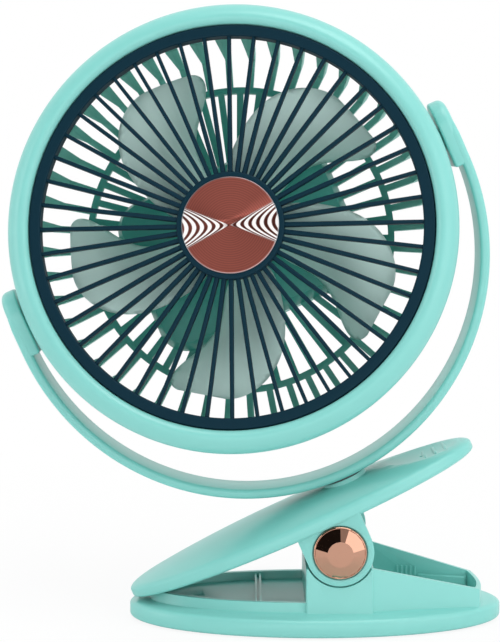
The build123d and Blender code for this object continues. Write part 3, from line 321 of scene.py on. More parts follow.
def copper_with_painted_glints(name, base):
    """Anodised aluminium disc with concentric turning marks, 0.9 mm apart so that they show, with painted
    highlights: white chevron glints over painted shade in two facing wedges, and a pale ring on the bevel.
    """
    material, tree, surface, place = new_material(name, base, 0.34, 1.0, **{"Anisotropic": 0.85})
    marks_apart, chevrons_apart = 0.9 * MM, 3.05 * MM
    rim = sizes().disc_radius - sizes().disc_bevel
    wedge_slope = 0.48  # half the height of a wedge of painted highlight and shade, as a share of its length
    wedge_turn = Matrix.Rotation(radians(-20.0), 4, "Z")
    face = HEAD @ Matrix.Translation((0, 0, sizes().guard_front)) @ wedge_turn
    local, radius = local_place(tree, place, face)
    times, times_plus = {"operation": "MULTIPLY"}, {"operation": "MULTIPLY_ADD"}
    colour_mix = {"data_type": "RGBA"}
    parts = add(tree, "SeparateXYZ", inputs={"Vector": local})
    across, up = parts.outputs["X"], parts.outputs["Y"]

    turns = add(tree, "Math", times, {0: radius, 1: 2 * pi / marks_apart})
    rings = add(tree, "Math", {"operation": "SINE"}, {0: turns})

    # painted highlight: nested chevrons of white glints, painted into the colour in two facing wedges, where the
    # turning marks would catch the light
    across_sq = add(tree, "Math", times, {0: across, 1: across})
    up_sq = add(tree, "Math", times, {0: up, 1: up})
    limit = add(tree, "Math", times, {0: up_sq, 1: 1 / wedge_slope**2})
    spread = add(tree, "Math", {"operation": "SUBTRACT"}, {0: across_sq, 1: limit})
    inside = add(tree, "Math", {"operation": "MAXIMUM"}, {0: spread, 1: 0.0})
    depth = add(tree, "Math", {"operation": "SQRT"}, {0: inside})
    share = add(tree, "Math", {"operation": "DIVIDE"}, {0: depth, 1: radius})
    wedge = add(tree, "MapRange", inputs={"Value": share, "From Min": 0.08, "From Max": 0.5})

    # the chevrons of the two wedges are out of step, so each starts at its own angle, in radians
    left_start, right_start = -2.12, 1.34
    right_half = add(tree, "Math", {"operation": "GREATER_THAN"}, {0: across, 1: 0.0})
    start = add(tree, "Math", times_plus, {0: right_half, 1: right_start - left_start, 2: left_start})
    swing = add(tree, "Math", times_plus, {0: depth, 1: 2 * pi / chevrons_apart, 2: start})
    wave = add(tree, "Math", {"operation": "SINE"}, {0: swing})
    stripe = add(tree, "MapRange", inputs={"Value": wave, "From Min": -0.4, "From Max": 0.25})
    bright = add(tree, "Math", times, {0: stripe, 1: wedge})
    fade = {"From Min": 0.5 * MM, "From Max": 3.0 * MM, "To Min": 0.5, "To Max": 1.0}
    middle = add(tree, "MapRange", inputs={"Value": radius} | fade)
    painted_glint = add(tree, "Math", times, {0: bright, 1: middle})

    ring_share = add(tree, "Math", times_plus, {0: rings, 1: 0.5, 2: 0.5})
    ring_tones = {"A": tone(base, 0.88), "B": tone(base, 1.08)}
    ground = add(tree, "Mix", colour_mix, {"Factor": ring_share} | ring_tones)
    # painted shade: inside the wedges the copper is darkened towards a quarter of its tone, under the painted
    # glints
    painted_shade_share = add(tree, "Math", times, {0: wedge, 1: 0.85})
    shaded = add(tree, "Mix", colour_mix, {"Factor": painted_shade_share, "A": ground, "B": tone(base, 0.25)})
    turned = add(tree, "Mix", colour_mix, {"Factor": painted_glint, "A": shaded, "B": linear("#FFFAF8")})

    # a pale painted highlight round the bevel at the disc's edge
    bevel = {"From Min": rim, "From Max": rim + 0.15 * MM, "To Min": 0.0, "To Max": 0.55}
    edge = add(tree, "MapRange", inputs={"Value": radius} | bevel)
    tint = add(tree, "Mix", colour_mix, {"Factor": edge, "A": turned, "B": linear("#AEBDC2")})
    # where the glints are painted the metal gives way to plain white paint, so the painted highlight shows bright
    metal = add(tree, "Math", times_plus, {0: painted_glint, 1: -0.85, 2: 1.0})
    relief = add(tree, "Bump", inputs={"Height": rings, "Distance": 0.02 * MM, "Strength": 0.25})
    connect(tree, surface, {"Base Color": tint, "Metallic": metal, "Normal": relief})
    return material


def clear_guide(name):
    """Clear acrylic light guide with a faint haze."""
    clear = {"Transmission Weight": 0.9, "IOR": 1.49}
    material, tree, surface, place = new_material(name, linear("#E6F4F4"), 0.12, **clear)
    roughen(tree, surface, place, size_mm=1.0, detail=2.0, depth_mm=0.01, strength=0.2)
    return material


def circuit_board(name):
    """Solder mask: satin green over pale traces, in rows 1.25 mm apart."""
    base = linear("#2E6B4A")
    unit = 4 * 1.25 * MM  # the pattern's rows are a quarter of its unit
    material, tree, surface, place = new_material(name, base, 0.4)
    inks = {"Color1": base, "Color2": tone(base, 1.25), "Mortar": linear("#7FA98B")}
    layout = {"Vector": place, "Scale": 1 / unit, "Mortar Size": 0.03}
    connect(tree, surface, {"Base Color": add(tree, "TexBrick", inputs=inks | layout)})
    return material


MATERIALS = {}


def make_materials():
    """Makes each finish once and keeps it by its slot."""
    tint = colours()
    guard, basket, basket_rim_painted_light = tuple(tint.guard), tuple(tint.basket), tuple(tint.basket_rim_painted_light)
    satin = {"roughness": 0.5, "shine": 0.12}
    MATERIALS["mint_shell"] = gloss_plastic("gloss moulded ABS, mint", tuple(tint.mint))
    MATERIALS["navy_guard"] = gloss_plastic("satin moulded ABS, petrol blue", guard, **satin)
    MATERIALS["rear_green"] = basket_plastic("gloss moulded ABS, mint under painted shade", basket, basket_rim_painted_light)
    MATERIALS["blade_green"] = matte_plastic("matte moulded polypropylene", tuple(tint.blade))
    MATERIALS["rubber_grey"] = soft_rubber("silicone rubber, grey", tuple(tint.rubber))
    MATERIALS["copper_disc"] = copper_with_painted_glints("turned anodised aluminium, copper, painted glints", tuple(tint.copper))
    MATERIALS["rose_metal"] = plated_rose("rose-gold plating", tuple(tint.rose))
    MATERIALS["steel"] = plain_steel("zinc-plated steel", linear("#B4B6B8"))
    MATERIALS["cell_wrap"] = gloss_plastic("shrink sleeve, green", linear("#3F7F5A"), roughness=0.35)
    MATERIALS["board_green"] = circuit_board("solder mask")
    white = linear("#E8EEEC")
    MATERIALS["button_white"] = gloss_plastic("gloss moulded ABS, white", white, roughness=0.25)
    MATERIALS["lens_clear"] = clear_guide("clear acrylic")


# ---------------------------------------------------------------- modelling
def only(piece):
    """Selects one object and makes it active."""
    bpy.ops.object.select_all(action="DESELECT")
    piece.select_set(True)
    bpy.context.view_layer.objects.active = piece


def pick(piece, wanted):
    """Opens a piece in edit mode with only those vertices selected whose place is wanted."""
    only(piece)
    bpy.ops.object.mode_set(mode="EDIT")
    bpy.ops.mesh.select_mode(type="VERT")
    bpy.ops.mesh.select_all(action="DESELECT")
    bpy.ops.object.mode_set(mode="OBJECT")
    for corner in piece.data.vertices:
        corner.select = wanted(corner.co)
    bpy.ops.object.mode_set(mode="EDIT")


def rounded(piece, edge_mm, segments):
    """Rounds the edges where faces meet at more than 40 degrees."""
    only(piece)
    rounding = piece.modifiers.new("rounded edges", "BEVEL")
    rounding.width = edge_mm * MM
    rounding.segments = segments
    rounding.limit_method = "ANGLE"
    rounding.angle_limit = radians(40.0)
    bpy.ops.object.modifier_apply(modifier=rounding.name)


def arc(start, middle, end, count=8):
    """Points of the circle through three (radius, height) points, without the first."""
    (ax, ay), (bx, by), (cx, cy) = start, middle, end
    divisor = 2 * (ax * (by - cy) + bx * (cy - ay) + cx * (ay - by))
    a_sq, b_sq, c_sq = ax * ax + ay * ay, bx * bx + by * by, cx * cx + cy * cy
    centre_x = (a_sq * (by - cy) + b_sq * (cy - ay) + c_sq * (ay - by)) / divisor
    centre_y = (a_sq * (cx - bx) + b_sq * (ax - cx) + c_sq * (bx - ax)) / divisor
    centre = Vector((centre_x, centre_y))
    first, halfway, last = (Vector(point) - centre for point in (start, middle, end))
    sweep = first.angle_signed(halfway) + halfway.angle_signed(last)
    points = []
    for step in range(1, count + 1):
        point = centre + Matrix.Rotation(-sweep * step / count, 2) @ first
        points.append((point.x, point.y))
    return points


def round_corner(start, corner, end):
    """A rounded corner of an outline, from its start to its end."""
    middle = tuple(c / 2 + (s + e) / 4 for s, c, e in zip(start, corner, end))
    return [start] + arc(start, middle, end, 5)


def lathe(outline, sides):
    """A turned piece: a circle is extruded and resized from point to point of (radius, height)."""
    bpy.ops.object.select_all(action="DESELECT")
    radius, height = outline[0]
    bpy.ops.mesh.primitive_circle_add(vertices=sides, radius=radius, location=(0, 0, height))
    piece = bpy.context.object
    bpy.ops.object.transform_apply(location=True)
    bpy.ops.object.mode_set(mode="EDIT")
    bpy.ops.mesh.select_all(action="SELECT")
    for next_radius, next_height in outline[1:]:
        lift = {"value": (0, 0, next_height - height)}
        bpy.ops.mesh.extrude_edges_move(TRANSFORM_OT_translate=lift)
        factor = next_radius / radius
        bpy.ops.transform.resize(value=(factor, factor, 1), center_override=(0, 0, next_height))
        radius, height = next_radius, next_height
    bpy.ops.mesh.select_all(action="SELECT")
    bpy.ops.mesh.remove_doubles(threshold=1e-6)
    bpy.ops.mesh.fill_holes(sides=0)
    bpy.ops.mesh.select_all(action="SELECT")
    bpy.ops.mesh.normals_make_consistent(inside=False)
    bpy.ops.object.mode_set(mode="OBJECT")
    return piece


def block(place, size):
    """A box, the start of a spoke or a rib, with its middle at a place."""
    bpy.ops.object.select_all(action="DESELECT")
    bpy.ops.mesh.primitive_cube_add(size=1, location=place)
    piece = bpy.context.object
    piece.scale = size
    bpy.ops.object.transform_apply(location=True, rotation=True, scale=True)
    return piece


def copies_around(piece, count, first_angle):
    """Copies a piece round Z, each copy with its own mesh, and turns them all by the first angle."""
    copies = [piece]
    for index in range(1, count):
        copy = piece.copy()
        copy.data = piece.data.copy()
        bpy.context.collection.objects.link(copy)
        copy.data.transform(Matrix.Rotation(2 * pi * index / count + first_angle, 4, "Z"))
        copies.append(copy)
    piece.data.transform(Matrix.Rotation(first_angle, 4, "Z"))
    return copies


def join(pieces):
    """Joins pieces into the first one."""
    bpy.ops.object.select_all(action="DESELECT")
    for piece in pieces:
        piece.select_set(True)
    bpy.context.view_layer.objects.active = pieces[0]
    bpy.ops.object.join()
    return bpy.context.object


def settle(piece, name, where, slot, body, *stands_for, smooth=32.0):
    """Takes a finished piece to its place, names and paints it, and lets it ride on its body."""
    only(piece)
    piece.matrix_world = where
    bpy.ops.object.transform_apply(location=True, rotation=True, scale=True)
    bpy.ops.object.shade_smooth_by_angle(angle=radians(smooth))
    piece.name = name
    piece.data.name = name
    piece.data.materials.clear()
    piece.data.materials.append(MATERIALS[slot])
    if body:  # a piece that lies between two bodies is given none
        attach(piece, body)
    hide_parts(*stands_for)
    return piece


def softened(node, name, slot, body, edge_mm=0.0):
    """A smooth-shaded copy of a CAD piece, its triangles merged and, where asked, its edges rounded."""
    piece = bpy.data.objects.new(name, NODES[node].data.copy())
    bpy.context.collection.objects.link(piece)
    only(piece)
    bpy.ops.object.mode_set(mode="EDIT")
    bpy.ops.mesh.select_all(action="SELECT")
    bpy.ops.mesh.remove_doubles(threshold=2e-6)
    if edge_mm:
        bpy.ops.mesh.dissolve_limited(angle_limit=radians(0.5), delimit={"NORMAL"})
    bpy.ops.object.mode_set(mode="OBJECT")
    if edge_mm:
        rounded(piece, edge_mm, segments=2)
    return settle(piece, name, Matrix.Identity(4), slot, body, node)


# ---------------------------------------------------------------- the pieces
class CLIPFAN_OT_finishes(bpy.types.Operator):
    """Make the finishes and give them to the pieces that are carried over as they are"""

    bl_idname = "clipfan.finishes"
    bl_label = "Finishes"

    def execute(self, context):
        make_materials()
        slots = {part["node"]: part["material_slot"] for part in frame["record"]["subparts"]}
        for node, piece in NODES.items():
            piece.data.materials.clear()
            piece.data.materials.append(MATERIALS[slots[node]])
        return {"FINISHED"}


class CLIPFAN_OT_ring(bpy.types.Operator):
    """Turn the rounded mint ring round the front and the tapering shell behind it"""

    bl_idname = "clipfan.ring"
    bl_label = "Ring and rear shell"
    seam = 0.1 * MM  # half the gap between the ring and the shell
    chamfer = 0.3 * MM  # on both edges of the seam

    def execute(self, context):
        ring, shell = self.ring(sizes()), self.shell(sizes())
        settle(ring, "ring", HEAD, "mint_shell", "head", "front_bezel")
        settle(shell, "rear_shell_ring", HEAD, "mint_shell", "head", "rear_shell")
        return {"FINISHED"}

    def ring(self, size):
        """The ring: up from the seam, over its crest to the lip, and back behind the guard."""
        outer, opening, front = size.head_radius, size.bezel_opening, size.bezel_front
        meeting, inner = size.seam_radius, size.seam_radius - size.wall
        shoulder = (outer, 12.5 * MM)
        bend = (outer - 1.2 * MM, 17.4 * MM)
        crest = ((opening + outer) / 2 - 0.6 * MM, front)
        brow = (opening + 0.9 * MM, front - 0.7 * MM)
        lip = (opening, size.guard_front - 1.0 * MM)
        ledge = size.guard_back + 1.6 * MM
        corner = (opening + size.wall, 17.0 * MM)
        hollow = (inner - 0.7 * MM, 14.0 * MM)
        outline = [(meeting - self.chamfer, self.seam), (meeting, self.seam + self.chamfer), shoulder]
        outline += arc(shoulder, bend, crest, 14)
        outline += arc(crest, brow, lip, 8)
        outline += [(opening, ledge), (opening + size.wall, ledge), corner]
        outline += arc(corner, hollow, (inner, 9.0 * MM), 6)
        outline += [(inner, self.seam), (meeting - self.chamfer, self.seam)]
        return lathe(outline, sides=192)

    def shell(self, size):
        """The shell: from the seam along its taper to the bevelled back edge, and back inside."""
        meeting, inner = size.seam_radius, size.seam_radius - size.wall
        back, rim, mouth = size.shell_back, size.shell_radius, size.shell_mouth
        floor, bevel = back + size.wall, 0.8 * MM
        top = (meeting - self.chamfer, -self.seam - self.chamfer)
        flank = (meeting - 0.75 * MM, -5.4 * MM)
        outline = [(inner, -self.seam), (meeting - 2 * self.chamfer, -self.seam), top]
        outline += arc(top, flank, (rim, back + bevel), 10)
        outline += [(rim - bevel, back), (mouth, back), (mouth, floor)]
        outline += [(rim - 1.0 * MM, floor), (inner, -4.0 * MM), (inner, -self.seam)]
        return lathe(outline, sides=192)


class CLIPFAN_OT_guard(bpy.types.Operator):
    """Model the dark guard: outer ring, hub cup and rounded, tapering spokes"""

    bl_idname = "clipfan.guard"
    bl_label = "Front guard"
    edge = 0.8 * MM  # radius of the ring's and the hub's front edges

    def execute(self, context):
        size = sizes()
        pieces = [self.ring(size), self.cup(size)] + self.spokes(size)
        settle(join(pieces), "guard", HEAD, "navy_guard", "head", "front_grille")
        return {"FINISHED"}

    def ring(self, size):
        """The ring that the spokes end in, with its thin flange at the back."""
        outer, inner, front, back = size.guard_outer, size.guard_inner, size.guard_front, size.guard_back
        flange, flange_front = size.guard_flange, back + 1.5 * MM
        outline = [(inner, back), (flange, back), (flange, flange_front), (outer, flange_front)]
        outline += round_corner((outer, front - self.edge), (outer, front), (outer - self.edge, front))
        outline += round_corner((inner + self.edge, front), (inner, front), (inner, front - self.edge))
        outline += [(inner, back)]
        return lathe(outline, sides=192)

    def cup(self, size):
        """The hub, with a shallow recess for the turned disc."""
        hub, front, back = size.hub_radius, size.guard_front, size.guard_back
        recess, floor = size.disc_radius + 0.05 * MM, front - 1.2 * MM
        outline = [(hub - self.edge, back), (hub, back + self.edge)]
        outline += round_corner((hub, front - self.edge), (hub, front), (hub - self.edge, front))
        outline += [(recess, front), (recess, floor), (0.0, floor)]
        return lathe(outline, sides=96)

    def spokes(self, size):
        """One spoke, narrowed outwards and rounded along its edges, then copied round the hub."""
        overlap = 0.6 * MM  # how far a spoke runs into the hub and the ring
        start, stop = size.hub_radius - overlap, size.guard_inner + overlap
        middle = (start + stop) / 2
        height = size.guard_front - 0.7 * MM - size.spoke_depth / 2
        spoke = block((middle, 0, height), (stop - start, size.spoke_hub, size.spoke_depth))
        pick(spoke, lambda at: at.x > middle)
        narrow = size.spoke_outer / size.spoke_hub
        bpy.ops.transform.resize(value=(1, narrow, 1), center_override=(stop, 0, height))
        bpy.ops.object.mode_set(mode="OBJECT")
        rounded(spoke, edge_mm=0.5, segments=3)
        return copies_around(spoke, size.spokes, radians(-0.5))


class CLIPFAN_OT_disc(bpy.types.Operator):
    """Turn the copper disc of the hub, slightly dished, with a bevelled rim that carries a painted highlight"""

    bl_idname = "clipfan.disc"
    bl_label = "Hub disc"

    def execute(self, context):
        radius, front = sizes().disc_radius, sizes().guard_front
        rim = radius - sizes().disc_bevel
        rise, dish = 0.3 * MM, 0.35 * MM
        outline = [(radius, front - 1.18 * MM), (radius, front - 0.1 * MM)]
        outline += arc(outline[-1], (radius - 0.12 * MM, front + 0.2 * MM), (rim, front + rise), 4)
        steps = 10
        for step in range(1, steps + 1):
            inwards = step / steps  # the face sinks evenly from the bevel to the middle
            outline.append((rim * (1 - inwards), front + rise - dish * inwards))
        settle(lathe(outline, sides=128), "turned_disc", HEAD, "copper_disc", "head", "hub_disc")
        return {"FINISHED"}


class CLIPFAN_OT_blades(bpy.types.Operator):
    """Smooth the five-bladed impeller"""

    bl_idname = "clipfan.blades"
    bl_label = "Impeller"

    def execute(self, context):
        softened("impeller", "paddles", "blade_green", "impeller")
        return {"FINISHED"}


class CLIPFAN_OT_basket(bpy.types.Operator):
    """Round the edges of the basket and of the pod's cover, and widen the basket's outer ribs"""

    bl_idname = "clipfan.basket"
    bl_label = "Basket and pod"

    def execute(self, context):
        basket = softened("rear_grille", "basket", "rear_green", "head", edge_mm=0.35)
        webs = self.webs(sizes())
        for web in webs:
            web.data.transform(HEAD)
            web.data.materials.append(MATERIALS["rear_green"])
        join([basket] + webs)
        softened("pod_cover", "pod_lid", "rear_green", "head", edge_mm=0.2)
        return {"FINISHED"}

    def webs(self, size):
        """The widening of each outer rib from the kink to the rim, modelled once and copied."""
        kink, rim = -21.4 * MM, -8.0 * MM
        radius, beside, width = 81.4 * MM, 2.5 * MM, 2.6 * MM
        middle = (kink + rim) / 2
        web = block((radius, beside, middle), (width, width, rim - kink))
        # the end at the kink lies further in, as its rib does, and thins out at the rib's side
        lean, rib_side, thin = 5.0 * MM, 1.2 * MM, 0.05
        pick(web, lambda at: at.z < middle)
        bpy.ops.transform.translate(value=(-lean, 0, 0))
        bpy.ops.transform.resize(value=(1, thin, 1), center_override=(0, rib_side, 0))
        bpy.ops.object.mode_set(mode="OBJECT")
        return copies_around(web, size.basket_ribs, radians(2.6))


class CLIPFAN_OT_yoke(bpy.types.Operator):
    """Spin the C-shaped strap, and join it to its foot, post, pads and trunnions"""

    bl_idname = "clipfan.yoke"
    bl_label = "Yoke"
    round_end = 5.0 * MM  # height of the middle of a pad's round end, above the tilt axis
    pad_foot = -12.0 * MM  # height of a pad's straight lower end

    def execute(self, context):
        size = sizes()
        pieces = [self.strap(size)]
        for side in (-1, 1):
            pieces += [self.pad(side, size), self.trunnion(side, size)]
        pieces.append(self.foot(size))
        settle(join(pieces), "yoke", YOKE, "mint_shell", "yoke", "yoke_arm")
        return {"FINISHED"}

    def strap(self, size):
        """A band spun through half a turn, with straight arms that narrow into the pads."""
        middle = size.yoke_half - size.strap / 2
        bpy.ops.object.select_all(action="DESELECT")
        bpy.ops.mesh.primitive_plane_add(size=1, location=(middle, 0, 0), rotation=(pi / 2, 0, 0))
        band = bpy.context.object
        band.scale = (size.strap, size.strap_depth, 1)
        bpy.ops.object.transform_apply(location=True, rotation=True, scale=True)
        bpy.ops.object.mode_set(mode="EDIT")
        bpy.ops.mesh.select_all(action="SELECT")
        bpy.ops.mesh.spin(steps=96, angle=pi, center=(0, 0, 0), axis=(0, 0, 1))
        bpy.ops.mesh.select_all(action="SELECT")
        tall = (size.yoke_drop - size.arm) / size.yoke_half
        bpy.ops.transform.resize(value=(1, tall, 1), center_override=(0, 0, 0))
        bpy.ops.transform.translate(value=(0, -size.arm, 0))
        bpy.ops.object.mode_set(mode="OBJECT")
        for side in (-1, 1):
            self.raise_arm(band, side, size)
        pick(band, lambda at: True)
        bpy.ops.mesh.remove_doubles(threshold=1e-6)
        bpy.ops.mesh.normals_make_consistent(inside=False)
        bpy.ops.object.mode_set(mode="OBJECT")
        rounded(band, edge_mm=1.3, segments=3)
        return band

    def raise_arm(self, band, side, size):
        """Extrudes one end of the band up to the tilt axis and on into its pad."""
        top = -size.arm
        stretches = (
            # rise, how far inwards, how much narrower
            (size.arm, 0.0, 1.0),
            (5.0 * MM, 0.35 * MM, 0.95),
            (4.0 * MM, 1.4 * MM, 0.75),
        )
        for rise, inwards, narrow in stretches:
            pick(band, lambda at: at.y > top - HAIR and at.x * side > 0)
            move = {"value": (-side * inwards, rise, 0)}
            bpy.ops.mesh.extrude_region_move(TRANSFORM_OT_translate=move)
            bpy.ops.transform.resize(value=(1, 1, narrow), center_override=(0, 0, 0))
            top += rise
            bpy.ops.object.mode_set(mode="OBJECT")

    def pad(self, side, size):
        """The thick end of an arm: round at the top, straight below, and well rounded outside."""
        face, back = size.pad_face, size.yoke_half - 0.3 * MM
        bpy.ops.object.select_all(action="DESELECT")
        bpy.ops.mesh.primitive_cylinder_add(
            vertices=64,
            radius=size.strap_depth / 2,
            depth=back - face,
            location=(side * (face + back) / 2, self.round_end, 0),
            rotation=(0, pi / 2, 0),
        )
        pad = bpy.context.object
        bpy.ops.object.transform_apply(location=True, rotation=True, scale=True)
        # the lower half of the circle is pulled down to a straight lower end
        pick(pad, lambda at: at.y < self.round_end - HAIR)
        bpy.ops.transform.resize(value=(1, 0, 1), center_override=(0, self.pad_foot, 0))
        bpy.ops.mesh.select_all(action="SELECT")
        bpy.ops.mesh.dissolve_limited(angle_limit=radians(1.0))
        bpy.ops.object.mode_set(mode="OBJECT")
        # the outer face gets a wide rounding, and the other edges a fine one
        pick(pad, lambda at: at.x * side > back - HAIR)
        bpy.ops.mesh.bevel(offset=2.8 * MM, segments=6, affect="EDGES")
        bpy.ops.object.mode_set(mode="OBJECT")
        rounded(pad, edge_mm=0.8, segments=3)
        return pad

    def trunnion(self, side, size):
        """The round peg that the head tilts on, with a screw hole."""
        end, root = size.trunnion_end, size.pad_face + 1.0 * MM
        hole, outer, edge = size.screw_hole, size.trunnion_radius, 0.4 * MM
        outline = [(hole, end + edge), (hole + edge, end), (outer - edge, end), (outer, end + edge)]
        outline += [(outer, root), (hole, root), (hole, end + edge)]
        peg = lathe(outline, sides=48)
        peg.data.transform(Matrix.Rotation(side * pi / 2, 4, "Y"))
        return peg

    def foot(self, size):
        """The round foot under the strap and the post that turns in the jaw."""
        radius, post, hole, low = size.foot_radius, size.post_radius, size.screw_hole, size.post_end
        edge, top = 0.5 * MM, 2.6 * MM
        outline = [(radius, edge), (radius, top), (hole, top), (hole, low + edge), (hole + edge, low)]
        outline += [(post - edge, low), (post, low + edge), (post, 0.0)]
        outline += [(radius - edge, 0.0), (radius, edge)]
        foot = lathe(outline, sides=96)
        upright = Matrix.Rotation(-pi / 2, 4, "X")
        foot.data.transform(Matrix.Translation((0, -size.yoke_drop, 0)) @ upright)
        return foot


class CLIPFAN_OT_clip(bpy.types.Operator):
    """Smooth the two halves of the clip and round their edges"""

    bl_idname = "clipfan.clip"
    bl_label = "Clip"

    def execute(self, context):
        softened("upper_jaw", "jaw", "mint_shell", "jaw", edge_mm=0.3)
        softened("base_plate", "stand", "mint_shell", "base", edge_mm=0.35)
        return {"FINISHED"}


class CLIPFAN_OT_spring(bpy.types.Operator):
    """Smooth the coil spring between its leg on the block and its leg under the jaw, and leave it on no body"""

    bl_idname = "clipfan.spring"
    bl_label = "Clip spring"

    def execute(self, context):
        spring = softened("torsion_spring", "coil_spring", "steel", None)
        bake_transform(spring)
        return {"FINISHED"}


class CLIPFAN_OT_caps(bpy.types.Operator):
    """Turn the plated caps on both ends of the hinge pin, with facets round their flat middle"""

    bl_idname = "clipfan.caps"
    bl_label = "Hinge caps"

    def execute(self, context):
        size = sizes()
        radius, flat, face = size.cap_radius, size.cap_flat, size.ear_face
        rim, top = face + 0.9 * MM, face + size.cap_rise
        inside, sunk = radius - 0.6 * MM, rim - 0.3 * MM
        barrel = [(radius, face - 0.7 * MM), (radius, face + 0.4 * MM)]
        barrel += arc(barrel[-1], (radius - 0.15 * MM, face + 0.75 * MM), (inside, rim), 5)
        barrel += [(inside - 0.4 * MM, sunk)]
        facets = [(inside - 0.2 * MM, sunk), (inside - 0.05 * MM, rim), (flat, top), (0.0, top)]
        for name, where, node in (
            ("cap_front", FRONT_CAP, "pivot_cap_front"),
            ("cap_rear", REAR_CAP, "pivot_cap_rear"),
        ):
            cap = join([lathe(barrel, sides=96), lathe(facets, sides=size.cap_facets)])
            # smooth only across angles so small that the facets stay flat and crisp
            settle(cap, name, where, "rose_metal", "base", node, smooth=5.0)
        return {"FINISHED"}


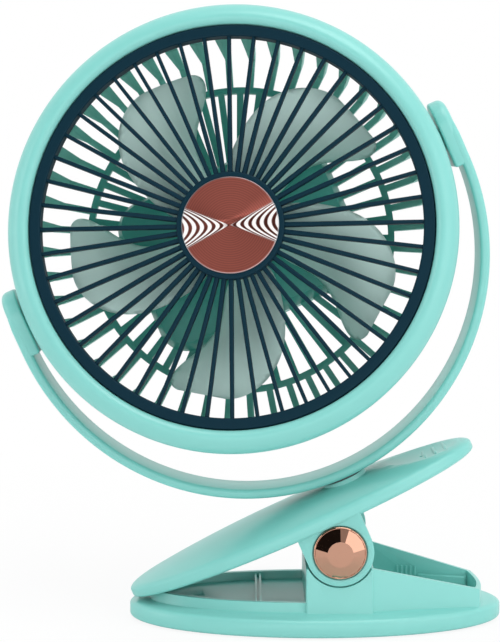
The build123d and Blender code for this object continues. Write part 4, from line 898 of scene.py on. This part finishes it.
# ---------------------------------------------------------------- the studio
class CLIPFAN_OT_studio(bpy.types.Operator):
    """Lay the pale floor and set up the soft lights, the world and the camera"""

    bl_idname = "clipfan.studio"
    bl_label = "Studio"

    def execute(self, context):
        self.floor()
        self.world(context.scene)
        self.lights()
        self.camera(context.scene)
        context.scene.view_settings.view_transform = "Standard"
        return {"FINISHED"}

    def floor(self):
        """A floor of matt paper that the camera sees as white, but for the shadow round the fan."""
        bpy.ops.object.select_all(action="DESELECT")
        breadth, behind = 8.0, 2.0  # in metres: most of the floor lies behind the fan
        bpy.ops.mesh.primitive_plane_add(size=breadth, location=(0, behind, 0))
        plane = bpy.context.object
        bpy.ops.object.transform_apply(location=True)
        plane.name = "floor"
        material, tree, place = bare_material("matt white paper")
        paper = add(tree, "BsdfDiffuse", inputs={"Color": tuple(colours().floor)})
        glow = add(tree, "Emission", inputs={"Color": WHITE, "Strength": 1.0})
        # the shadow shows near the fan, and from 0.1 to 0.4 m away it fades into the white
        away = add(tree, "VectorMath", {"operation": "LENGTH"}, {0: place})
        fade = {"From Min": 0.1, "From Max": 0.4, "To Min": 0.9, "To Max": 1.0}
        white = add(tree, "MapRange", inputs={"Value": away} | fade)
        seen = add(tree, "LightPath").outputs["Is Camera Ray"]
        share = add(tree, "Math", {"operation": "MULTIPLY"}, {0: seen, 1: white})
        mixed = add(tree, "MixShader", inputs={0: share, 1: paper, 2: glow})
        add(tree, "OutputMaterial", inputs={"Surface": mixed})
        plane.data.materials.append(material)

    def world(self, scene):
        """A room with a white backdrop, dimmer walls and one doorway that mirrors show dark."""
        world = bpy.data.worlds.new("studio")
        scene.world = world
        world.use_nodes = True
        tree = world.node_tree
        tree.nodes.clear()
        ray = add(tree, "LightPath").outputs
        direction = add(tree, "TexCoord").outputs["Generated"]
        # the light of the walls grows from the camera's side of the room to the backdrop
        backwards = add(tree, "SeparateXYZ", inputs={"Vector": direction}).outputs["Y"]
        dimmer = {"From Min": -0.4, "From Max": 0.3, "To Min": 0.46, "To Max": 1.0}
        room = add(tree, "MapRange", inputs={"Value": backwards} | dimmer)
        # the doorway lies to the left, above and behind the camera, and only mirrors see it
        towards_door = Vector((-0.551, -0.617, 0.552)).normalized()
        facing = add(tree, "VectorMath", {"operation": "DOT_PRODUCT"}, {0: direction, 1: towards_door})
        opening = {"From Min": 0.78, "From Max": 0.75, "To Min": 0.03, "To Max": 1.0}
        doorway = add(tree, "MapRange", inputs={"Value": facing} | opening)
        not_mirrored = add(tree, "Math", {"operation": "SUBTRACT"}, {0: 1.0, 1: ray["Is Glossy Ray"]})
        closed = add(tree, "Math", {"operation": "MAXIMUM"}, {0: doorway, 1: not_mirrored})
        walls = add(tree, "Math", {"operation": "MULTIPLY"}, {0: room, 1: closed})
        # seen straight or through the clear acrylic, the room is plain white
        through = {0: ray["Is Camera Ray"], 1: ray["Is Transmission Ray"]}
        seen = add(tree, "Math", {"operation": "MAXIMUM"}, through)
        strength = add(tree, "Math", {"operation": "MAXIMUM"}, {0: seen, 1: walls})
        glow = add(tree, "Background", inputs={"Color": WHITE, "Strength": strength})
        add(tree, "OutputWorld", inputs={"Surface": glow})

    def lights(self):
        """Large soft panels: one at each side of the camera, one above and a low one in front."""
        panels = (
            # name, place, power in watts, width and height in metres
            ("left panel", (-1.2, -0.45, 0.35), 3.5, 0.5, 1.0),
            ("right panel", (0.85, -0.85, 0.42), 4.3, 0.95, 0.95),
            ("top panel", (0.2, -0.4, 1.15), 5.2, 0.8, 0.6),
            ("low panel", (-0.1, -1.5, 0.12), 2.0, 1.0, 0.3),
        )
        target = Vector((-0.02, 0, 0.12))
        for name, place, power, width, height in panels:
            lamp = bpy.data.lights.new(name, "AREA")
            lamp.shape = "RECTANGLE"
            lamp.size = width
            lamp.size_y = height
            lamp.energy = power
            panel = bpy.data.objects.new(name, lamp)
            bpy.context.collection.objects.link(panel)
            panel.location = place
            panel.rotation_euler = (target - Vector(place)).to_track_quat("-Z", "Y").to_euler()

    def camera(self, scene):
        """A long lens, a little above the fan's middle."""
        target = Vector((-26.3, 0.0, 120.6)) * MM
        distance, lift = 700 * MM, radians(6.0)
        lens = bpy.data.cameras.new("camera")
        lens.sensor_width = 36.0
        lens.lens = 98.13
        camera = bpy.data.objects.new("camera", lens)
        bpy.context.collection.objects.link(camera)
        camera.location = target + Vector((0, -cos(lift), sin(lift))) * distance
        camera.rotation_euler = (pi / 2 - lift, 0, 0)
        scene.camera = camera


STEPS = (
    CLIPFAN_OT_finishes,
    CLIPFAN_OT_ring,
    CLIPFAN_OT_guard,
    CLIPFAN_OT_disc,
    CLIPFAN_OT_blades,
    CLIPFAN_OT_basket,
    CLIPFAN_OT_yoke,
    CLIPFAN_OT_clip,
    CLIPFAN_OT_spring,
    CLIPFAN_OT_caps,
    CLIPFAN_OT_studio,
)


class CLIPFAN_PT_panel(bpy.types.Panel):
    """Lists the steps that dress the fan"""

    bl_label = "Clip fan"
    bl_idname = "CLIPFAN_PT_panel"
    bl_space_type = "VIEW_3D"
    bl_region_type = "UI"
    bl_category = "Clip fan"

    def draw(self, context):
        for step in STEPS:
            self.layout.operator(step.bl_idname)


CLASSES = (ClipFanColours, ClipFanSizes) + STEPS + (CLIPFAN_PT_panel,)


def register():
    """Registers the classes and hangs the two groups of values on the scene."""
    for item in CLASSES:
        bpy.utils.register_class(item)
    bpy.types.Scene.clip_fan_colours = bpy.props.PointerProperty(type=ClipFanColours)
    bpy.types.Scene.clip_fan_sizes = bpy.props.PointerProperty(type=ClipFanSizes)


def unregister():
    """Takes the values and classes away again."""
    del bpy.types.Scene.clip_fan_sizes
    del bpy.types.Scene.clip_fan_colours
    for item in reversed(CLASSES):
        bpy.utils.unregister_class(item)


def main():
    """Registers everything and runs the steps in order."""
    register()
    for step in STEPS:
        group, name = step.bl_idname.split(".")
        getattr(getattr(bpy.ops, group), name)()


if __name__ == "__main__":
    main()
